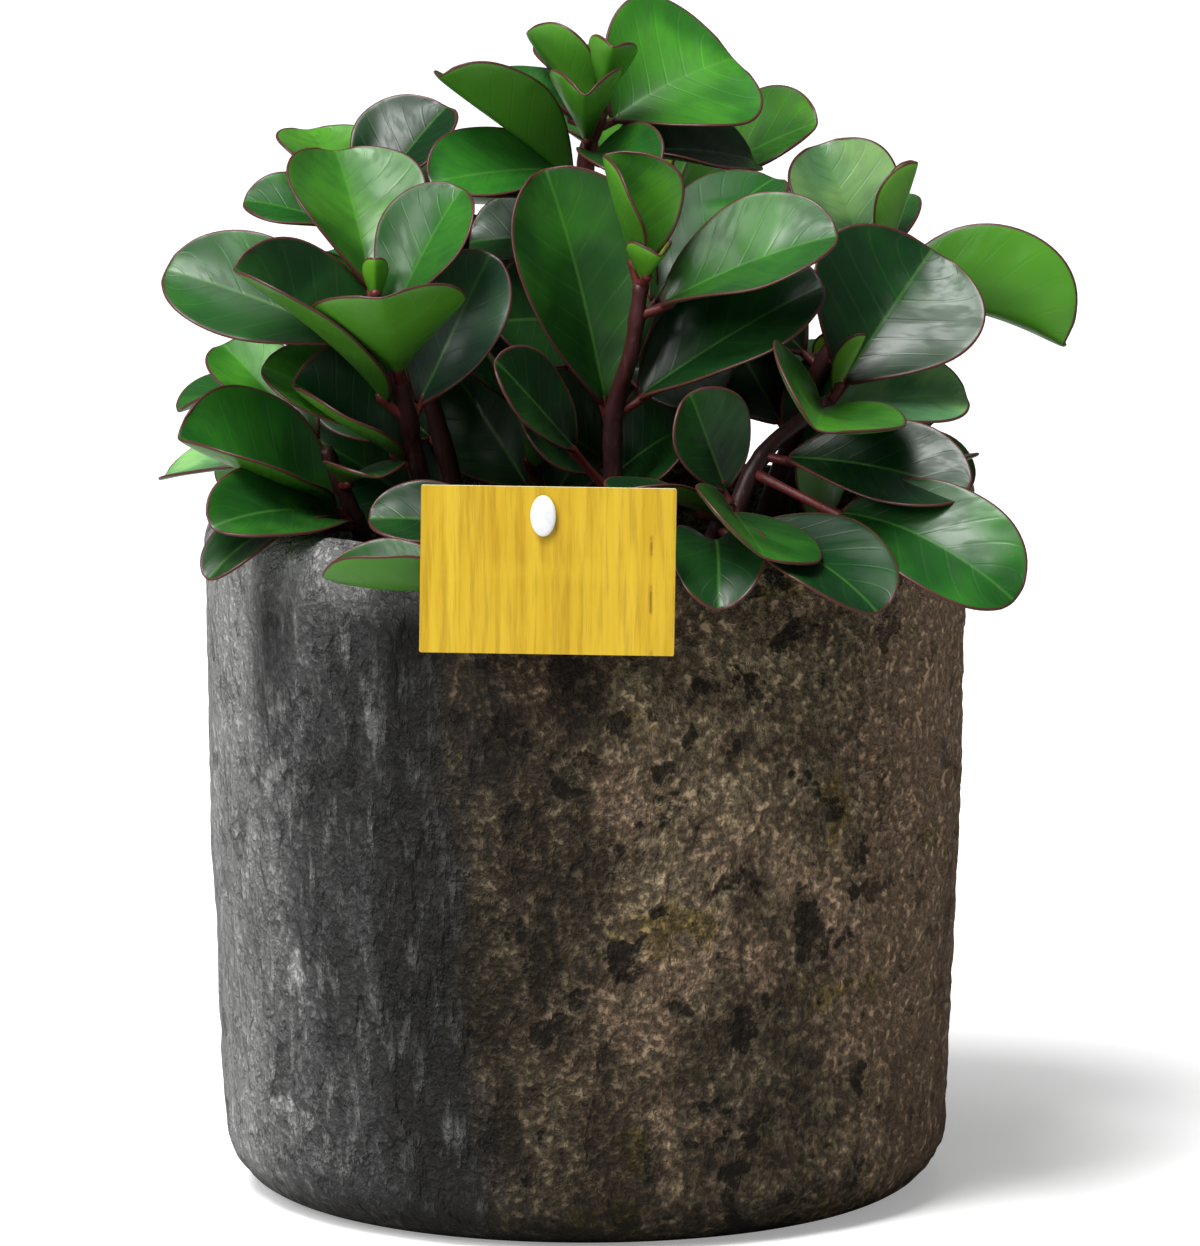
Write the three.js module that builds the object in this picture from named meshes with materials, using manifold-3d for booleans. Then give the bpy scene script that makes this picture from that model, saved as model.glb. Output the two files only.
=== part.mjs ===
// A red-edged peperomia, also called burning bush, growing in a rough dark ceramic pot.
// The plant is a bush of fleshy leafy stems. Each stem stands in its own hole in the soil and carries its
// leaves on short stalks. A blank label card hangs in front of the rim from a bent white pick.
// Millimetres, +Z up. The origin is the centre of the pot's flat foot, and -Y is the front.
import * as THREE from "three";
import { mergeVertices } from "three/addons/utils/BufferGeometryUtils.js";
import Module from "manifold-3d";

const wasm = await Module();
wasm.setup();

const { degToRad } = THREE.MathUtils;

// Pot: a slightly tapered cylinder with a rounded foot and a thick rounded rim.
const POT_HEIGHT = 226;
const POT_FOOT_RADIUS = 119.6;
const POT_MIDDLE_RADIUS = 123.2;
const POT_MIDDLE_HEIGHT = 110;
const POT_RIM_RADIUS = 125;
const POT_FULL_WIDTH_HEIGHT = 193;
const POT_FOOT_ROUNDING = 23;
const POT_SHOULDER_ROUNDING = 11;
const POT_LIP_ROUNDING = 2.5;
const POT_WALL = 14;
const POT_FLOOR = 16;
const POT_SIDES = 36;
const POT_ARC_DIVISIONS = 2;

// Soil, with the holes that the stems and the pick stand in.
const GAP = 0.3;
const SOIL_EDGE_HEIGHT = 198;
const SOIL_MIDDLE_HEIGHT = 203;
const ROOT_HEIGHT = 184;
const HOLE_CLEARANCE = 0.5;

// Leafy stems.
const STEM_RADIUS = 3.5;
const STEM_SIDES = 6;
const STEPS_PER_SPAN = 2;
const STALK_SHARE = 0.12;
const STALK_SINK = 1;
const STALK_HALF_WIDTH = 1.6;
const STALK_THICKNESS = 3;
const BLADE_THICKNESS = 1.4;
const BLADE_TIP_HALF_WIDTH = 2;
const BLADE_WIDEST = 0.6;
const BLADE_BASE_POWER = 0.8;
const BLADE_TIP_POWER = 0.52;
const BLADE_ROWS = 5;
const BLADE_COLUMNS = [-1, 0, 1];
const BLADE_CUP = 14;
const BLADE_LEAST_BEND = 0.1;

// Label card and the pick that it hangs from.
const CARD_WIDTH = 80;
const CARD_HEIGHT = 53;
const CARD_THICKNESS = 1;
const CARD_CORNER = 0.7;
const CARD_CENTRE = [-11.6, -137.5, 224];
const CARD_LEAN = 0.9;
const PICK_RADIUS = 1.6;
const PICK_SIDES = 8;
const PICK_HEAD_WIDTH = 8;
const PICK_HEAD_HEIGHT = 13;
const PICK_HEAD_THICKNESS = 2;
const ROUND_SEGMENTS = 8;

// The pick's rod, from its root: it rises inside the rim, bends forward over it and ends level in its head.
const PICK_PATH = [
  [-13, -102, ROOT_HEIGHT],
  [-13, -102, 202],
  [-13, -102, 220],
  [-13, -105, 236],
  [-13, -114, 244.5],
  [-13, -127.5, 242.5],
  [-13, -137.5, 241.5],
  [-13, -139.5, 241.5],
];
const [PICK_X, , PICK_EYE_HEIGHT] = PICK_PATH.at(-1);

// The leafy stems. A stem's path runs from its root up to its growing tip.
// A leaf row is: place along the stem (0 root, 1 tip), then the leaf's tip x, y, z, then the blade's width,
// then in degrees how far its two halves fold up, how far it bends over from base to tip, and how far it is
// rolled about its own length. A ninth number is the share of its length that is stalk, if it isn't the usual.
const STEMS = {
  stem_front_left: {
    path: [[-42, -50, ROOT_HEIGHT], [-46, -51, 215], [-54, -50, 244], [-58, -60, 268], [-67, -66, 298]],
    leaves: [
      [1.00, -81, -26, 345, 50, 14, 20, 0],
      [0.93, -39, -58, 336, 38, 10, 20, 34],
      [1.00, -67, -72, 315, 12, 40, 0, 0],
      [0.80, -64, -110, 307, 54, 14, -20, 10],
      [0.68, -112, -84, 313, 48, 30, 20, -38],
      [0.88, -135, -50, 309, 42, 8, 20, -50],
      [0.50, -94, -66, 274, 52, 32, 10, -42],
      [0.66, -30, -56, 315, 34, 4, 10, 68],
      [0.55, -104, -56, 278, 34, 14, 20, -40],
    ],
  },
  stem_top: {
    path: [[8, -10, ROOT_HEIGHT], [8, -9, 220], [8, -8, 260], [5, -5, 310], [0, 0, 336], [5, -2, 356]],
    leaves: [
      [0.93, 49, 24, 370, 66, 6, 20, 40],
      [0.96, -19, 4, 381, 32, 14, 10, 40],
      [1.00, 9, -19, 378, 26, 44, 0, -20],
      [0.86, 0, -37, 364, 38, 44, 0, 0],
      [0.74, -47, -34, 370, 38, 26, 10, 16],
      [0.80, -50, -36, 335, 36, 12, 20, -35],
      [0.74, -36, -20, 330, 28, 12, 20, -20],
      [0.62, -38, -2, 312, 36, 10, 20, -35],
      [0.84, 20, -40, 336, 30, 20, 50, 20],
      [0.94, -40, 36, 362, 40, 10, 20, 0],
      [0.84, 56, 22, 336, 46, 10, 30, 25],
      [0.95, 0, 54, 372, 40, 10, 20, 0],
      [0.50, -30, -36, 290, 42, 10, 20, -60],
      [0.44, 48, -14, 276, 42, 10, 20, 60],
      [0.30, -22, -34, 262, 40, 10, 20, -65],
      [0.28, 36, -30, 256, 42, 10, 20, 60],
    ],
  },
  stem_centre: {
    path: [[12, -38, ROOT_HEIGHT], [10, -42, 220], [9, -45, 259], [15, -52, 283], [18, -56, 305]],
    leaves: [
      [0.46, -13, -44, 341, 54, 16, 15, -64],
      [0.98, 6, -57, 347, 46, 50, 0, -50],
      [1.00, 24, -72, 316, 22, 40, 0, 0],
      [0.88, 81, -70, 322, 46, 12, 20, 40],
      [0.86, 62, -18, 335, 40, 8, 30, 10],
      [0.52, 77, -53, 304, 54, 10, 20, 38],
      [0.34, -29, -80, 283, 30, 10, 10, -70, 0.34],
    ],
  },
  stem_right: {
    path: [[44, -54, ROOT_HEIGHT], [46, -55, 212], [50, -55, 235], [60, -50, 252], [79, -42, 265]],
    leaves: [
      [1.00, 113, -18, 312, 62, 8, 10, 50],
      [0.97, 73, -112, 265, 57, 20, 10, -30],
      [1.00, 90, -50, 288, 12, 40, 0, 0],
      [0.92, 124, -30, 265, 30, 10, 30, 45],
      [0.70, 122, -88, 241, 38, 8, 30, 35],
      [0.62, 136, -111, 210, 44, 8, 60, 35, 0.34],
    ],
  },
  stem_back_left: {
    path: [[-36, 16, ROOT_HEIGHT], [-40, 15, 215], [-50, 12, 255], [-61, 8, 292], [-75, 4, 321]],
    leaves: [
      [1.00, -92, 32, 346, 40, 8, 20, 0],
      [0.98, -45, 18, 355, 44, 14, 10, 20],
      [0.94, -112, 6, 325, 30, 10, 20, -30],
      [1.00, -76, 6, 340, 12, 40, 0, 0],
      [0.90, -58, 60, 336, 40, 10, 30, 0],
      [0.80, -122, 12, 290, 38, 10, 30, -20],
      [0.85, -26, 34, 330, 38, 10, 30, 0],
      [0.70, -96, 66, 298, 40, 10, 40, 0],
      [0.42, -84, 22, 272, 48, 10, 20, -60],
      [0.22, -92, 20, 246, 44, 10, 20, -60],
    ],
  },
  stem_back_right: {
    path: [[54, 20, ROOT_HEIGHT], [58, 18, 215], [68, 14, 245], [80, 12, 275], [97, 20, 300]],
    leaves: [
      [0.98, 77, 34, 341, 42, 12, 20, -30],
      [1.00, 109, 16, 337, 22, 44, 0, 10],
      [0.90, 158, 20, 276, 58, 35, 60, -45],
      [0.92, 136, 62, 290, 40, 10, 30, 0],
      [0.95, 92, 74, 318, 42, 10, 30, 0],
      [0.72, 122, -8, 282, 36, 10, 30, 0],
      [0.70, 34, 36, 308, 44, 10, 30, -50],
      [0.50, 40, 40, 290, 46, 10, 20, -60],
      [0.42, 96, 4, 266, 46, 10, 20, 60],
    ],
  },
  stem_back: {
    path: [[8, 52, ROOT_HEIGHT], [10, 54, 220], [16, 58, 260], [22, 62, 295], [26, 66, 320]],
    leaves: [
      [0.98, 77, 42, 347, 48, 10, 20, 35],
      [1.00, 24, 72, 342, 12, 40, 0, 0],
      [0.97, 50, 108, 346, 44, 10, 20, 0],
      [0.96, -14, 96, 350, 44, 10, 20, 0],
      [0.88, 66, 96, 316, 42, 10, 30, 0],
      [0.86, 14, 128, 316, 42, 10, 30, 0],
      [0.84, -44, 86, 316, 40, 10, 30, 0],
      [0.70, 40, 118, 284, 42, 10, 40, 0],
      [0.45, -30, 66, 296, 50, 10, 20, -60],
      [0.42, 58, 78, 286, 50, 10, 20, 60],
      [0.32, -22, 76, 262, 46, 10, 20, -60],
    ],
  },
  stem_middle: {
    path: [[-14, 22, ROOT_HEIGHT], [-15, 22, 215], [-16, 24, 245], [-14, 28, 280]],
    leaves: [
      [0.90, 26, 18, 318, 46, 10, 20, 60],
      [0.85, -54, 34, 312, 46, 10, 20, -55],
      [0.70, -52, -4, 296, 46, 10, 20, -60],
      [0.62, 34, 34, 290, 48, 10, 20, 60],
      [0.50, -34, -22, 282, 40, 10, 20, -60],
      [0.42, -42, 42, 262, 44, 10, 20, -60],
      [0.36, 20, 12, 270, 44, 10, 20, 60],
    ],
  },
  stem_low_left: {
    path: [[-66, -30, ROOT_HEIGHT], [-70, -34, 212], [-76, -38, 230], [-84, -42, 250]],
    leaves: [
      [0.60, -131, -62, 256, 54, 30, 10, -34],
      [0.85, -138, -10, 236, 28, 10, 40, -20],
      [0.55, -119, -92, 231, 35, 10, 50, -35, 0.12],
      [0.60, -120, -92, 214, 24, 10, 60, -10],
      [0.95, -119, -4, 279, 32, 10, 10, -20],
      [0.80, -66, -84, 246, 28, 10, 20, 0],
    ],
  },
  stem_low_right: {
    path: [[72, -40, ROOT_HEIGHT], [76, -42, 212], [84, -42, 226], [94, -42, 238]],
    leaves: [
      [1.00, 122, -14, 244, 34, 10, 30, 10],
      [0.95, 112, 6, 268, 38, 10, 20, 0],
      [1.00, 104, -50, 256, 14, 40, 0, 0],
      [0.40, 84, -30, 254, 38, 8, 10, -88],
    ],
  },
  stem_low_front: {
    path: [[-12, -66, ROOT_HEIGHT], [-14, -74, 212], [-18, -92, 230], [-22, -114, 238], [-24, -131, 220]],
    leaves: [
      [1.00, -83, -117, 219, 34, 44, -30, -6],
      [0.50, -69, -94, 234, 28, 10, 20, -40],
    ],
  },
  stem_low_centre: {
    path: [[34, -72, ROOT_HEIGHT], [36, -74, 212], [40, -77, 224], [46, -81, 237]],
    leaves: [
      [0.70, 42, -136, 211, 33, 10, 80, 0],
      [0.97, 56, -138, 228, 48, 6, 10, -28],
      [0.80, 92, -130, 209, 44, 8, 50, 10],
      [0.90, 8, -104, 244, 30, 10, 20, 0],
      [1.00, 33, -90, 274, 34, 8, 10, -84],
    ],
  },
  stem_low_back_left: {
    path: [[-62, 46, ROOT_HEIGHT], [-65, 50, 212], [-70, 56, 235], [-76, 64, 258]],
    leaves: [
      [0.98, -122, 92, 276, 44, 10, 30, 0],
      [0.86, -136, 48, 250, 40, 10, 50, 0],
      [0.80, -92, 118, 246, 42, 10, 50, 0],
      [0.60, -118, 104, 214, 40, 10, 70, 0],
      [0.92, -50, 106, 284, 40, 10, 30, 0],
      [1.00, -80, 68, 278, 14, 40, 0, 0],
    ],
  },
  stem_low_back_right: {
    path: [[60, 60, ROOT_HEIGHT], [63, 63, 212], [70, 66, 232], [80, 70, 254]],
    leaves: [
      [0.98, 128, 88, 276, 44, 10, 30, 0],
      [0.84, 120, 54, 250, 40, 10, 50, 0],
      [0.82, 96, 122, 248, 42, 10, 50, 0],
      [0.60, 128, 88, 214, 40, 10, 70, 0],
      [0.92, 60, 116, 262, 38, 10, 30, 0],
      [0.66, 124, 12, 227, 36, 10, 70, 0],
      [1.00, 84, 74, 274, 14, 40, 0, 0],
    ],
  },
  stem_low_back: {
    path: [[-8, 84, ROOT_HEIGHT], [-9, 87, 212], [-12, 92, 232], [-16, 96, 252]],
    leaves: [
      [0.98, -30, 146, 270, 42, 10, 30, 0],
      [0.84, -64, 132, 240, 40, 10, 50, 0],
      [0.82, 30, 138, 242, 40, 10, 50, 0],
      [0.62, -14, 148, 214, 38, 10, 70, 0],
      [0.95, -60, 104, 258, 36, 10, 30, 0],
    ],
  },
};

const MERGE_DISTANCE = 1e-4;

// A closed solid for joining and cutting, from a three.js geometry.
function toSolid(geometry) {
  const bare = geometry.clone();
  bare.deleteAttribute("normal");
  bare.deleteAttribute("uv");
  const merged = mergeVertices(bare, MERGE_DISTANCE);
  const corners = merged.index.array;
  const faces = [];
  for (let i = 0; i < corners.length; i += 3) {
    const [a, b, c] = corners.slice(i, i + 3);
    if (a !== b && b !== c && c !== a) faces.push(a, b, c);
  }
  return new wasm.Manifold(new wasm.Mesh({
    numProp: 3,
    vertProperties: new Float32Array(merged.attributes.position.array),
    triVerts: new Uint32Array(faces),
  }));
}

function toGeometry(solid) {
  const mesh = solid.getMesh();
  const geometry = new THREE.BufferGeometry();
  geometry.setAttribute("position", new THREE.BufferAttribute(mesh.vertProperties, 3));
  geometry.setIndex(new THREE.BufferAttribute(mesh.triVerts, 1));
  geometry.computeVertexNormals();
  return geometry;
}

function point([x, y, z]) {
  return new THREE.Vector3(x, y, z);
}

function smoothCurve(path) {
  return new THREE.CatmullRomCurve3(path.map(point), false, "catmullrom", 0.5);
}

// A flat shape stood upright in the XZ plane, its thickness running forward from y = 0.
function extrudeFlat(shape, depth) {
  const options = { depth, bevelEnabled: false, curveSegments: ROUND_SEGMENTS };
  return new THREE.ExtrudeGeometry(shape, options).rotateX(Math.PI / 2);
}

// A round bar along a path of points.
function barAlong(path, radius, sides) {
  const section = new THREE.Shape();
  for (let side = 0; side < sides; side++) {
    const angle = (side / sides) * 2 * Math.PI;
    section[side ? "lineTo" : "moveTo"](radius * Math.cos(angle), radius * Math.sin(angle));
  }
  section.closePath();
  const steps = STEPS_PER_SPAN * (path.length - 1);
  const options = { steps, extrudePath: smoothCurve(path), bevelEnabled: false };
  return toSolid(new THREE.ExtrudeGeometry(section, options));
}

// The hole in the soil for a root, a little wider and deeper than the bar that stands in it.
function rootHole([[x, y, z], ...rest], radius, sides) {
  return barAlong([[x, y, z - GAP], ...rest], radius + HOLE_CLEARANCE, sides);
}

// Half a blade's width at a share of its length, as a share of its widest.
function bladeOutline(share) {
  const fromBase = share / BLADE_WIDEST;
  const fromTip = (1 - share) / (1 - BLADE_WIDEST);
  return fromBase ** BLADE_BASE_POWER * fromTip ** BLADE_TIP_POWER;
}

// One cross-section of a leaf: its upper face from left to right, then its lower face from right to left.
function leafSection({ centre, side, up, halfWidth, thickness, fold }) {
  const upper = [];
  const lower = [];
  for (const column of BLADE_COLUMNS) {
    const tilt = fold + degToRad(BLADE_CUP) * Math.abs(column) * 0.5;
    const reach = halfWidth * column;
    const middle = centre.clone()
      .addScaledVector(side, reach * Math.cos(tilt))
      .addScaledVector(up, Math.abs(reach) * Math.sin(tilt));
    const slope = Math.sign(column) * (fold + degToRad(BLADE_CUP) * Math.abs(column));
    const outward = up.clone().multiplyScalar(Math.cos(slope)).addScaledVector(side, -Math.sin(slope));
    upper.push(middle.clone().addScaledVector(outward, thickness / 2));
    lower.unshift(middle.clone().addScaledVector(outward, -thickness / 2));
  }
  return [...upper, ...lower];
}

// A closed solid through a row of leaf sections, split into triangles alike on its upper and lower face.
function loftSections(sections) {
  const count = sections[0].length;
  const half = count / 2;
  const faces = [];
  for (let row = 0; row + 1 < sections.length; row++) {
    for (let corner = 0; corner < count; corner++) {
      const a = row * count + corner;
      const b = row * count + ((corner + 1) % count);
      if (corner < half) faces.push(a, b, b + count, a, b + count, a + count);
      else faces.push(a, b, a + count, b, b + count, a + count);
    }
  }
  const last = (sections.length - 1) * count;
  for (let column = 0; column + 1 < half; column++) {
    const opposite = count - 1 - column;
    faces.push(column, opposite, column + 1, column + 1, opposite, opposite - 1);
    faces.push(last + column, last + column + 1, last + opposite);
    faces.push(last + column + 1, last + opposite - 1, last + opposite);
  }
  const geometry = new THREE.BufferGeometry();
  geometry.setFromPoints(sections.flat());
  geometry.setIndex(faces);
  return geometry;
}

// A leaf: a straight stalk out of the middle of the stem, then a blade bent along an arc to the leaf's tip.
function leaf(curve, [place, x, y, z, width, fold, bend, roll, stalkShare = STALK_SHARE]) {
  const root = curve.getPoint(place);
  const tip = new THREE.Vector3(x, y, z);
  const along = tip.clone().sub(root).normalize();
  const up = new THREE.Vector3(0, 0, 1)
    .projectOnPlane(along)
    .normalize()
    .applyAxisAngle(along, degToRad(roll));
  const side = new THREE.Vector3().crossVectors(along, up);
  const stalk = root.distanceTo(tip) * stalkShare;
  const length = root.distanceTo(tip) - stalk;
  const base = root.clone().addScaledVector(along, stalk);
  const turn = degToRad(bend || BLADE_LEAST_BEND);
  const radius = length / (2 * Math.sin(turn / 2));

  const stalkEnd = { side, up, halfWidth: STALK_HALF_WIDTH, thickness: STALK_THICKNESS, fold: 0 };
  const inside = root.clone().addScaledVector(along, -STALK_SINK);
  const sections = [leafSection({ ...stalkEnd, centre: inside }), leafSection({ ...stalkEnd, centre: base })];
  for (let row = 1; row <= BLADE_ROWS; row++) {
    const share = Math.sin((row / BLADE_ROWS) * (Math.PI / 2));
    const angle = turn * (0.5 - share);
    sections.push(leafSection({
      centre: base.clone()
        .addScaledVector(along, radius * (Math.sin(turn / 2) - Math.sin(angle)))
        .addScaledVector(up, radius * (Math.cos(angle) - Math.cos(turn / 2))),
      side,
      up: up.clone().multiplyScalar(Math.cos(angle)).addScaledVector(along, -Math.sin(angle)),
      halfWidth: Math.max((width / 2) * bladeOutline(share), BLADE_TIP_HALF_WIDTH),
      thickness: BLADE_THICKNESS,
      fold: degToRad(fold),
    }));
  }
  return toSolid(loftSections(sections));
}

function leafyStem({ path, leaves }) {
  const curve = smoothCurve(path);
  const bar = barAlong(path, STEM_RADIUS, STEM_SIDES);
  return toGeometry(leaves.reduce((stem, row) => stem.add(leaf(curve, row)), bar));
}

// The pot: a profile from the centre of the foot, up the outside, over the rim and down to the inner floor.
function potGeometry() {
  const shoulder = POT_RIM_RADIUS - POT_SHOULDER_ROUNDING;
  const inner = POT_RIM_RADIUS - POT_WALL;
  const lip = inner + POT_LIP_ROUNDING;
  const profile = new THREE.Path();
  profile.moveTo(0, 0);
  profile.lineTo(POT_FOOT_RADIUS - POT_FOOT_ROUNDING, 0);
  profile.absarc(POT_FOOT_RADIUS - POT_FOOT_ROUNDING, POT_FOOT_ROUNDING, POT_FOOT_ROUNDING, -Math.PI / 2, 0);
  profile.lineTo(POT_MIDDLE_RADIUS, POT_MIDDLE_HEIGHT);
  profile.lineTo(POT_RIM_RADIUS, POT_FULL_WIDTH_HEIGHT);
  profile.absarc(shoulder, POT_HEIGHT - POT_SHOULDER_ROUNDING, POT_SHOULDER_ROUNDING, 0, Math.PI / 2);
  profile.absarc(lip, POT_HEIGHT - POT_LIP_ROUNDING, POT_LIP_ROUNDING, Math.PI / 2, Math.PI);
  profile.lineTo(inner, POT_FLOOR);
  profile.lineTo(0, POT_FLOOR);
  return new THREE.LatheGeometry(profile.getPoints(POT_ARC_DIVISIONS), POT_SIDES).rotateX(Math.PI / 2);
}

// The soil fills the pot and rises a little to its middle.
function soilGeometry() {
  const edge = POT_RIM_RADIUS - POT_WALL - GAP;
  const profile = [
    new THREE.Vector2(0, POT_FLOOR + GAP),
    new THREE.Vector2(edge, POT_FLOOR + GAP),
    new THREE.Vector2(edge, SOIL_EDGE_HEIGHT),
    new THREE.Vector2(edge / 2, (SOIL_EDGE_HEIGHT + 2 * SOIL_MIDDLE_HEIGHT) / 3),
    new THREE.Vector2(0, SOIL_MIDDLE_HEIGHT),
  ];
  const full = toSolid(new THREE.LatheGeometry(profile, POT_SIDES).rotateX(Math.PI / 2));
  const stemHoles = Object.values(STEMS).map(({ path }) => rootHole(path, STEM_RADIUS, STEM_SIDES));
  const holes = [...stemHoles, rootHole(PICK_PATH, PICK_RADIUS, PICK_SIDES)];
  return toGeometry(holes.reduce((soil, hole) => soil.subtract(hole), full));
}

// The pick: a bent rod with an upright oval head, which sits just in front of the card.
function pickGeometry() {
  const [, cardY] = CARD_CENTRE;
  const headBack = cardY - CARD_THICKNESS / 2 - GAP;
  const oval = new THREE.Shape();
  oval.absellipse(0, 0, PICK_HEAD_WIDTH / 2, PICK_HEAD_HEIGHT / 2, 0, 2 * Math.PI);
  const head = extrudeFlat(oval, PICK_HEAD_THICKNESS).translate(PICK_X, headBack, PICK_EYE_HEIGHT);
  return toGeometry(barAlong(PICK_PATH, PICK_RADIUS, PICK_SIDES).add(toSolid(head)));
}

// The card's own shape, lying about its centre in the XZ plane: round corners and a round hole for the pick.
function cardGeometry() {
  const [cardX, , cardZ] = CARD_CENTRE;
  const right = CARD_WIDTH / 2 - CARD_CORNER;
  const top = CARD_HEIGHT / 2 - CARD_CORNER;
  const outline = new THREE.Shape();
  outline.absarc(right, top, CARD_CORNER, 0, Math.PI / 2);
  outline.absarc(-right, top, CARD_CORNER, Math.PI / 2, Math.PI);
  outline.absarc(-right, -top, CARD_CORNER, Math.PI, 1.5 * Math.PI);
  outline.absarc(right, -top, CARD_CORNER, 1.5 * Math.PI, 2 * Math.PI);
  const eye = new THREE.Vector2(PICK_X - cardX, PICK_EYE_HEIGHT - cardZ)
    .rotateAround(new THREE.Vector2(), degToRad(CARD_LEAN));
  const hole = new THREE.Path();
  hole.absarc(eye.x, eye.y, PICK_RADIUS + GAP, 0, 2 * Math.PI);
  outline.holes.push(hole);
  return extrudeFlat(outline, CARD_THICKNESS).translate(0, CARD_THICKNESS / 2, 0);
}

const FINISHES = {
  ceramic: { color: 0x4d4f55, roughness: 0.85, metalness: 0 },
  earth: { color: 0x2b2018, roughness: 1, metalness: 0 },
  printedWood: { color: 0xd9a441, roughness: 0.7, metalness: 0 },
  whitePlastic: { color: 0xe9ebef, roughness: 0.4, metalness: 0 },
  leaf: { color: 0x3f5a2c, roughness: 0.35, metalness: 0 },
};

function part(name, geometry, finish) {
  const mesh = new THREE.Mesh(geometry, new THREE.MeshStandardMaterial(finish));
  mesh.name = name;
  return mesh;
}

const plant = new THREE.Group();
plant.add(part("pot", potGeometry(), FINISHES.ceramic));
plant.add(part("soil", soilGeometry(), FINISHES.earth));
const card = part("label_card", cardGeometry(), FINISHES.printedWood);
card.position.set(...CARD_CENTRE);
card.rotation.y = degToRad(CARD_LEAN);
plant.add(card);
plant.add(part("label_pick", pickGeometry(), FINISHES.whitePlastic));
for (const [name, stem] of Object.entries(STEMS)) {
  plant.add(part(name, leafyStem(stem), FINISHES.leaf));
}

export default plant;
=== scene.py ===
"""Looks of a red-edged peperomia in its rough ceramic pot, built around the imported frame.

Every leafy stem, the pot, the soil and the pick get a detailed piece that stands for their CAD node, and the
label card keeps its CAD shape. Sizes are in millimetres until they become mesh coordinates.
"""

import logging
import math
import random
from dataclasses import dataclass, field
from enum import Enum
from typing import Any, Sequence

import bpy
import numpy as np
from mathutils import Euler, Matrix, Vector


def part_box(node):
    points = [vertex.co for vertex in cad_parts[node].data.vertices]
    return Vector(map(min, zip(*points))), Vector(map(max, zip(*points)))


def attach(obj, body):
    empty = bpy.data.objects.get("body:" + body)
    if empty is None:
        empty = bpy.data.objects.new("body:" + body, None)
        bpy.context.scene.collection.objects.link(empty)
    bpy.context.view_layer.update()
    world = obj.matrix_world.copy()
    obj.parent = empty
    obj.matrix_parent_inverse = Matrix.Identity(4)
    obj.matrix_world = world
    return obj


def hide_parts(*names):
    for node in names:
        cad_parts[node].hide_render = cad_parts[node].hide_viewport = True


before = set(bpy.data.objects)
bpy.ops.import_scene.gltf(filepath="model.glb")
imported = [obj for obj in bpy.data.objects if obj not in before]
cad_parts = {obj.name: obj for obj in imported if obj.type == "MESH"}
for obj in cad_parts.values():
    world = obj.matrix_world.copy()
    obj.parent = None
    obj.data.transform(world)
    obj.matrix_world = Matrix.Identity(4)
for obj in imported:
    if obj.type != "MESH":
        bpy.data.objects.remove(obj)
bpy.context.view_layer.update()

LOG = logging.getLogger("peperomia")

MM = 0.001
FULL_TURN = 2 * math.pi
SEED = 7
BODY = "root"
WEIGHT_LEVELS = 50
GRAIN_ROUGHNESS = 0.6

Colour = tuple[float, float, float]
Point = tuple[float, float, float]
SectionPoint = tuple[float, float]
Socket = bpy.types.NodeSocket
Object = bpy.types.Object
Material = bpy.types.Material

ROOT_HEIGHT = 184
STALK_SHARE = 0.12


class Tone(Enum):
    """How a leaf's upper face is coloured: by its age, except the near-black green, which is painted shade
    standing in for the shade inside the bush.
    """

    FRESH = (0.030, 0.175, 0.014)
    DEEP = (0.014, 0.105, 0.012)
    # Painted shade: a near-black green for leaves deep in the bush or under others.
    DARK = (0.006, 0.042, 0.009)
    PALE = (0.120, 0.280, 0.110)
    YOUNG = (0.160, 0.460, 0.020)
    OLD = (0.012, 0.045, 0.024)


@dataclass(frozen=True)
class Leaf:
    """One leaf: its place on the stem, its tip, its blade's width, and its fold, bend and roll in degrees."""

    place: float
    x: float
    y: float
    z: float
    width: float
    fold: float
    bend: float
    roll: float
    tone: Tone = Tone.DEEP
    stalk_share: float = STALK_SHARE


@dataclass(frozen=True)
class StemPlan:
    """A stem's path from its root to its growing tip, and its leaves."""

    path: list[Point]
    leaves: list[Leaf]


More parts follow.
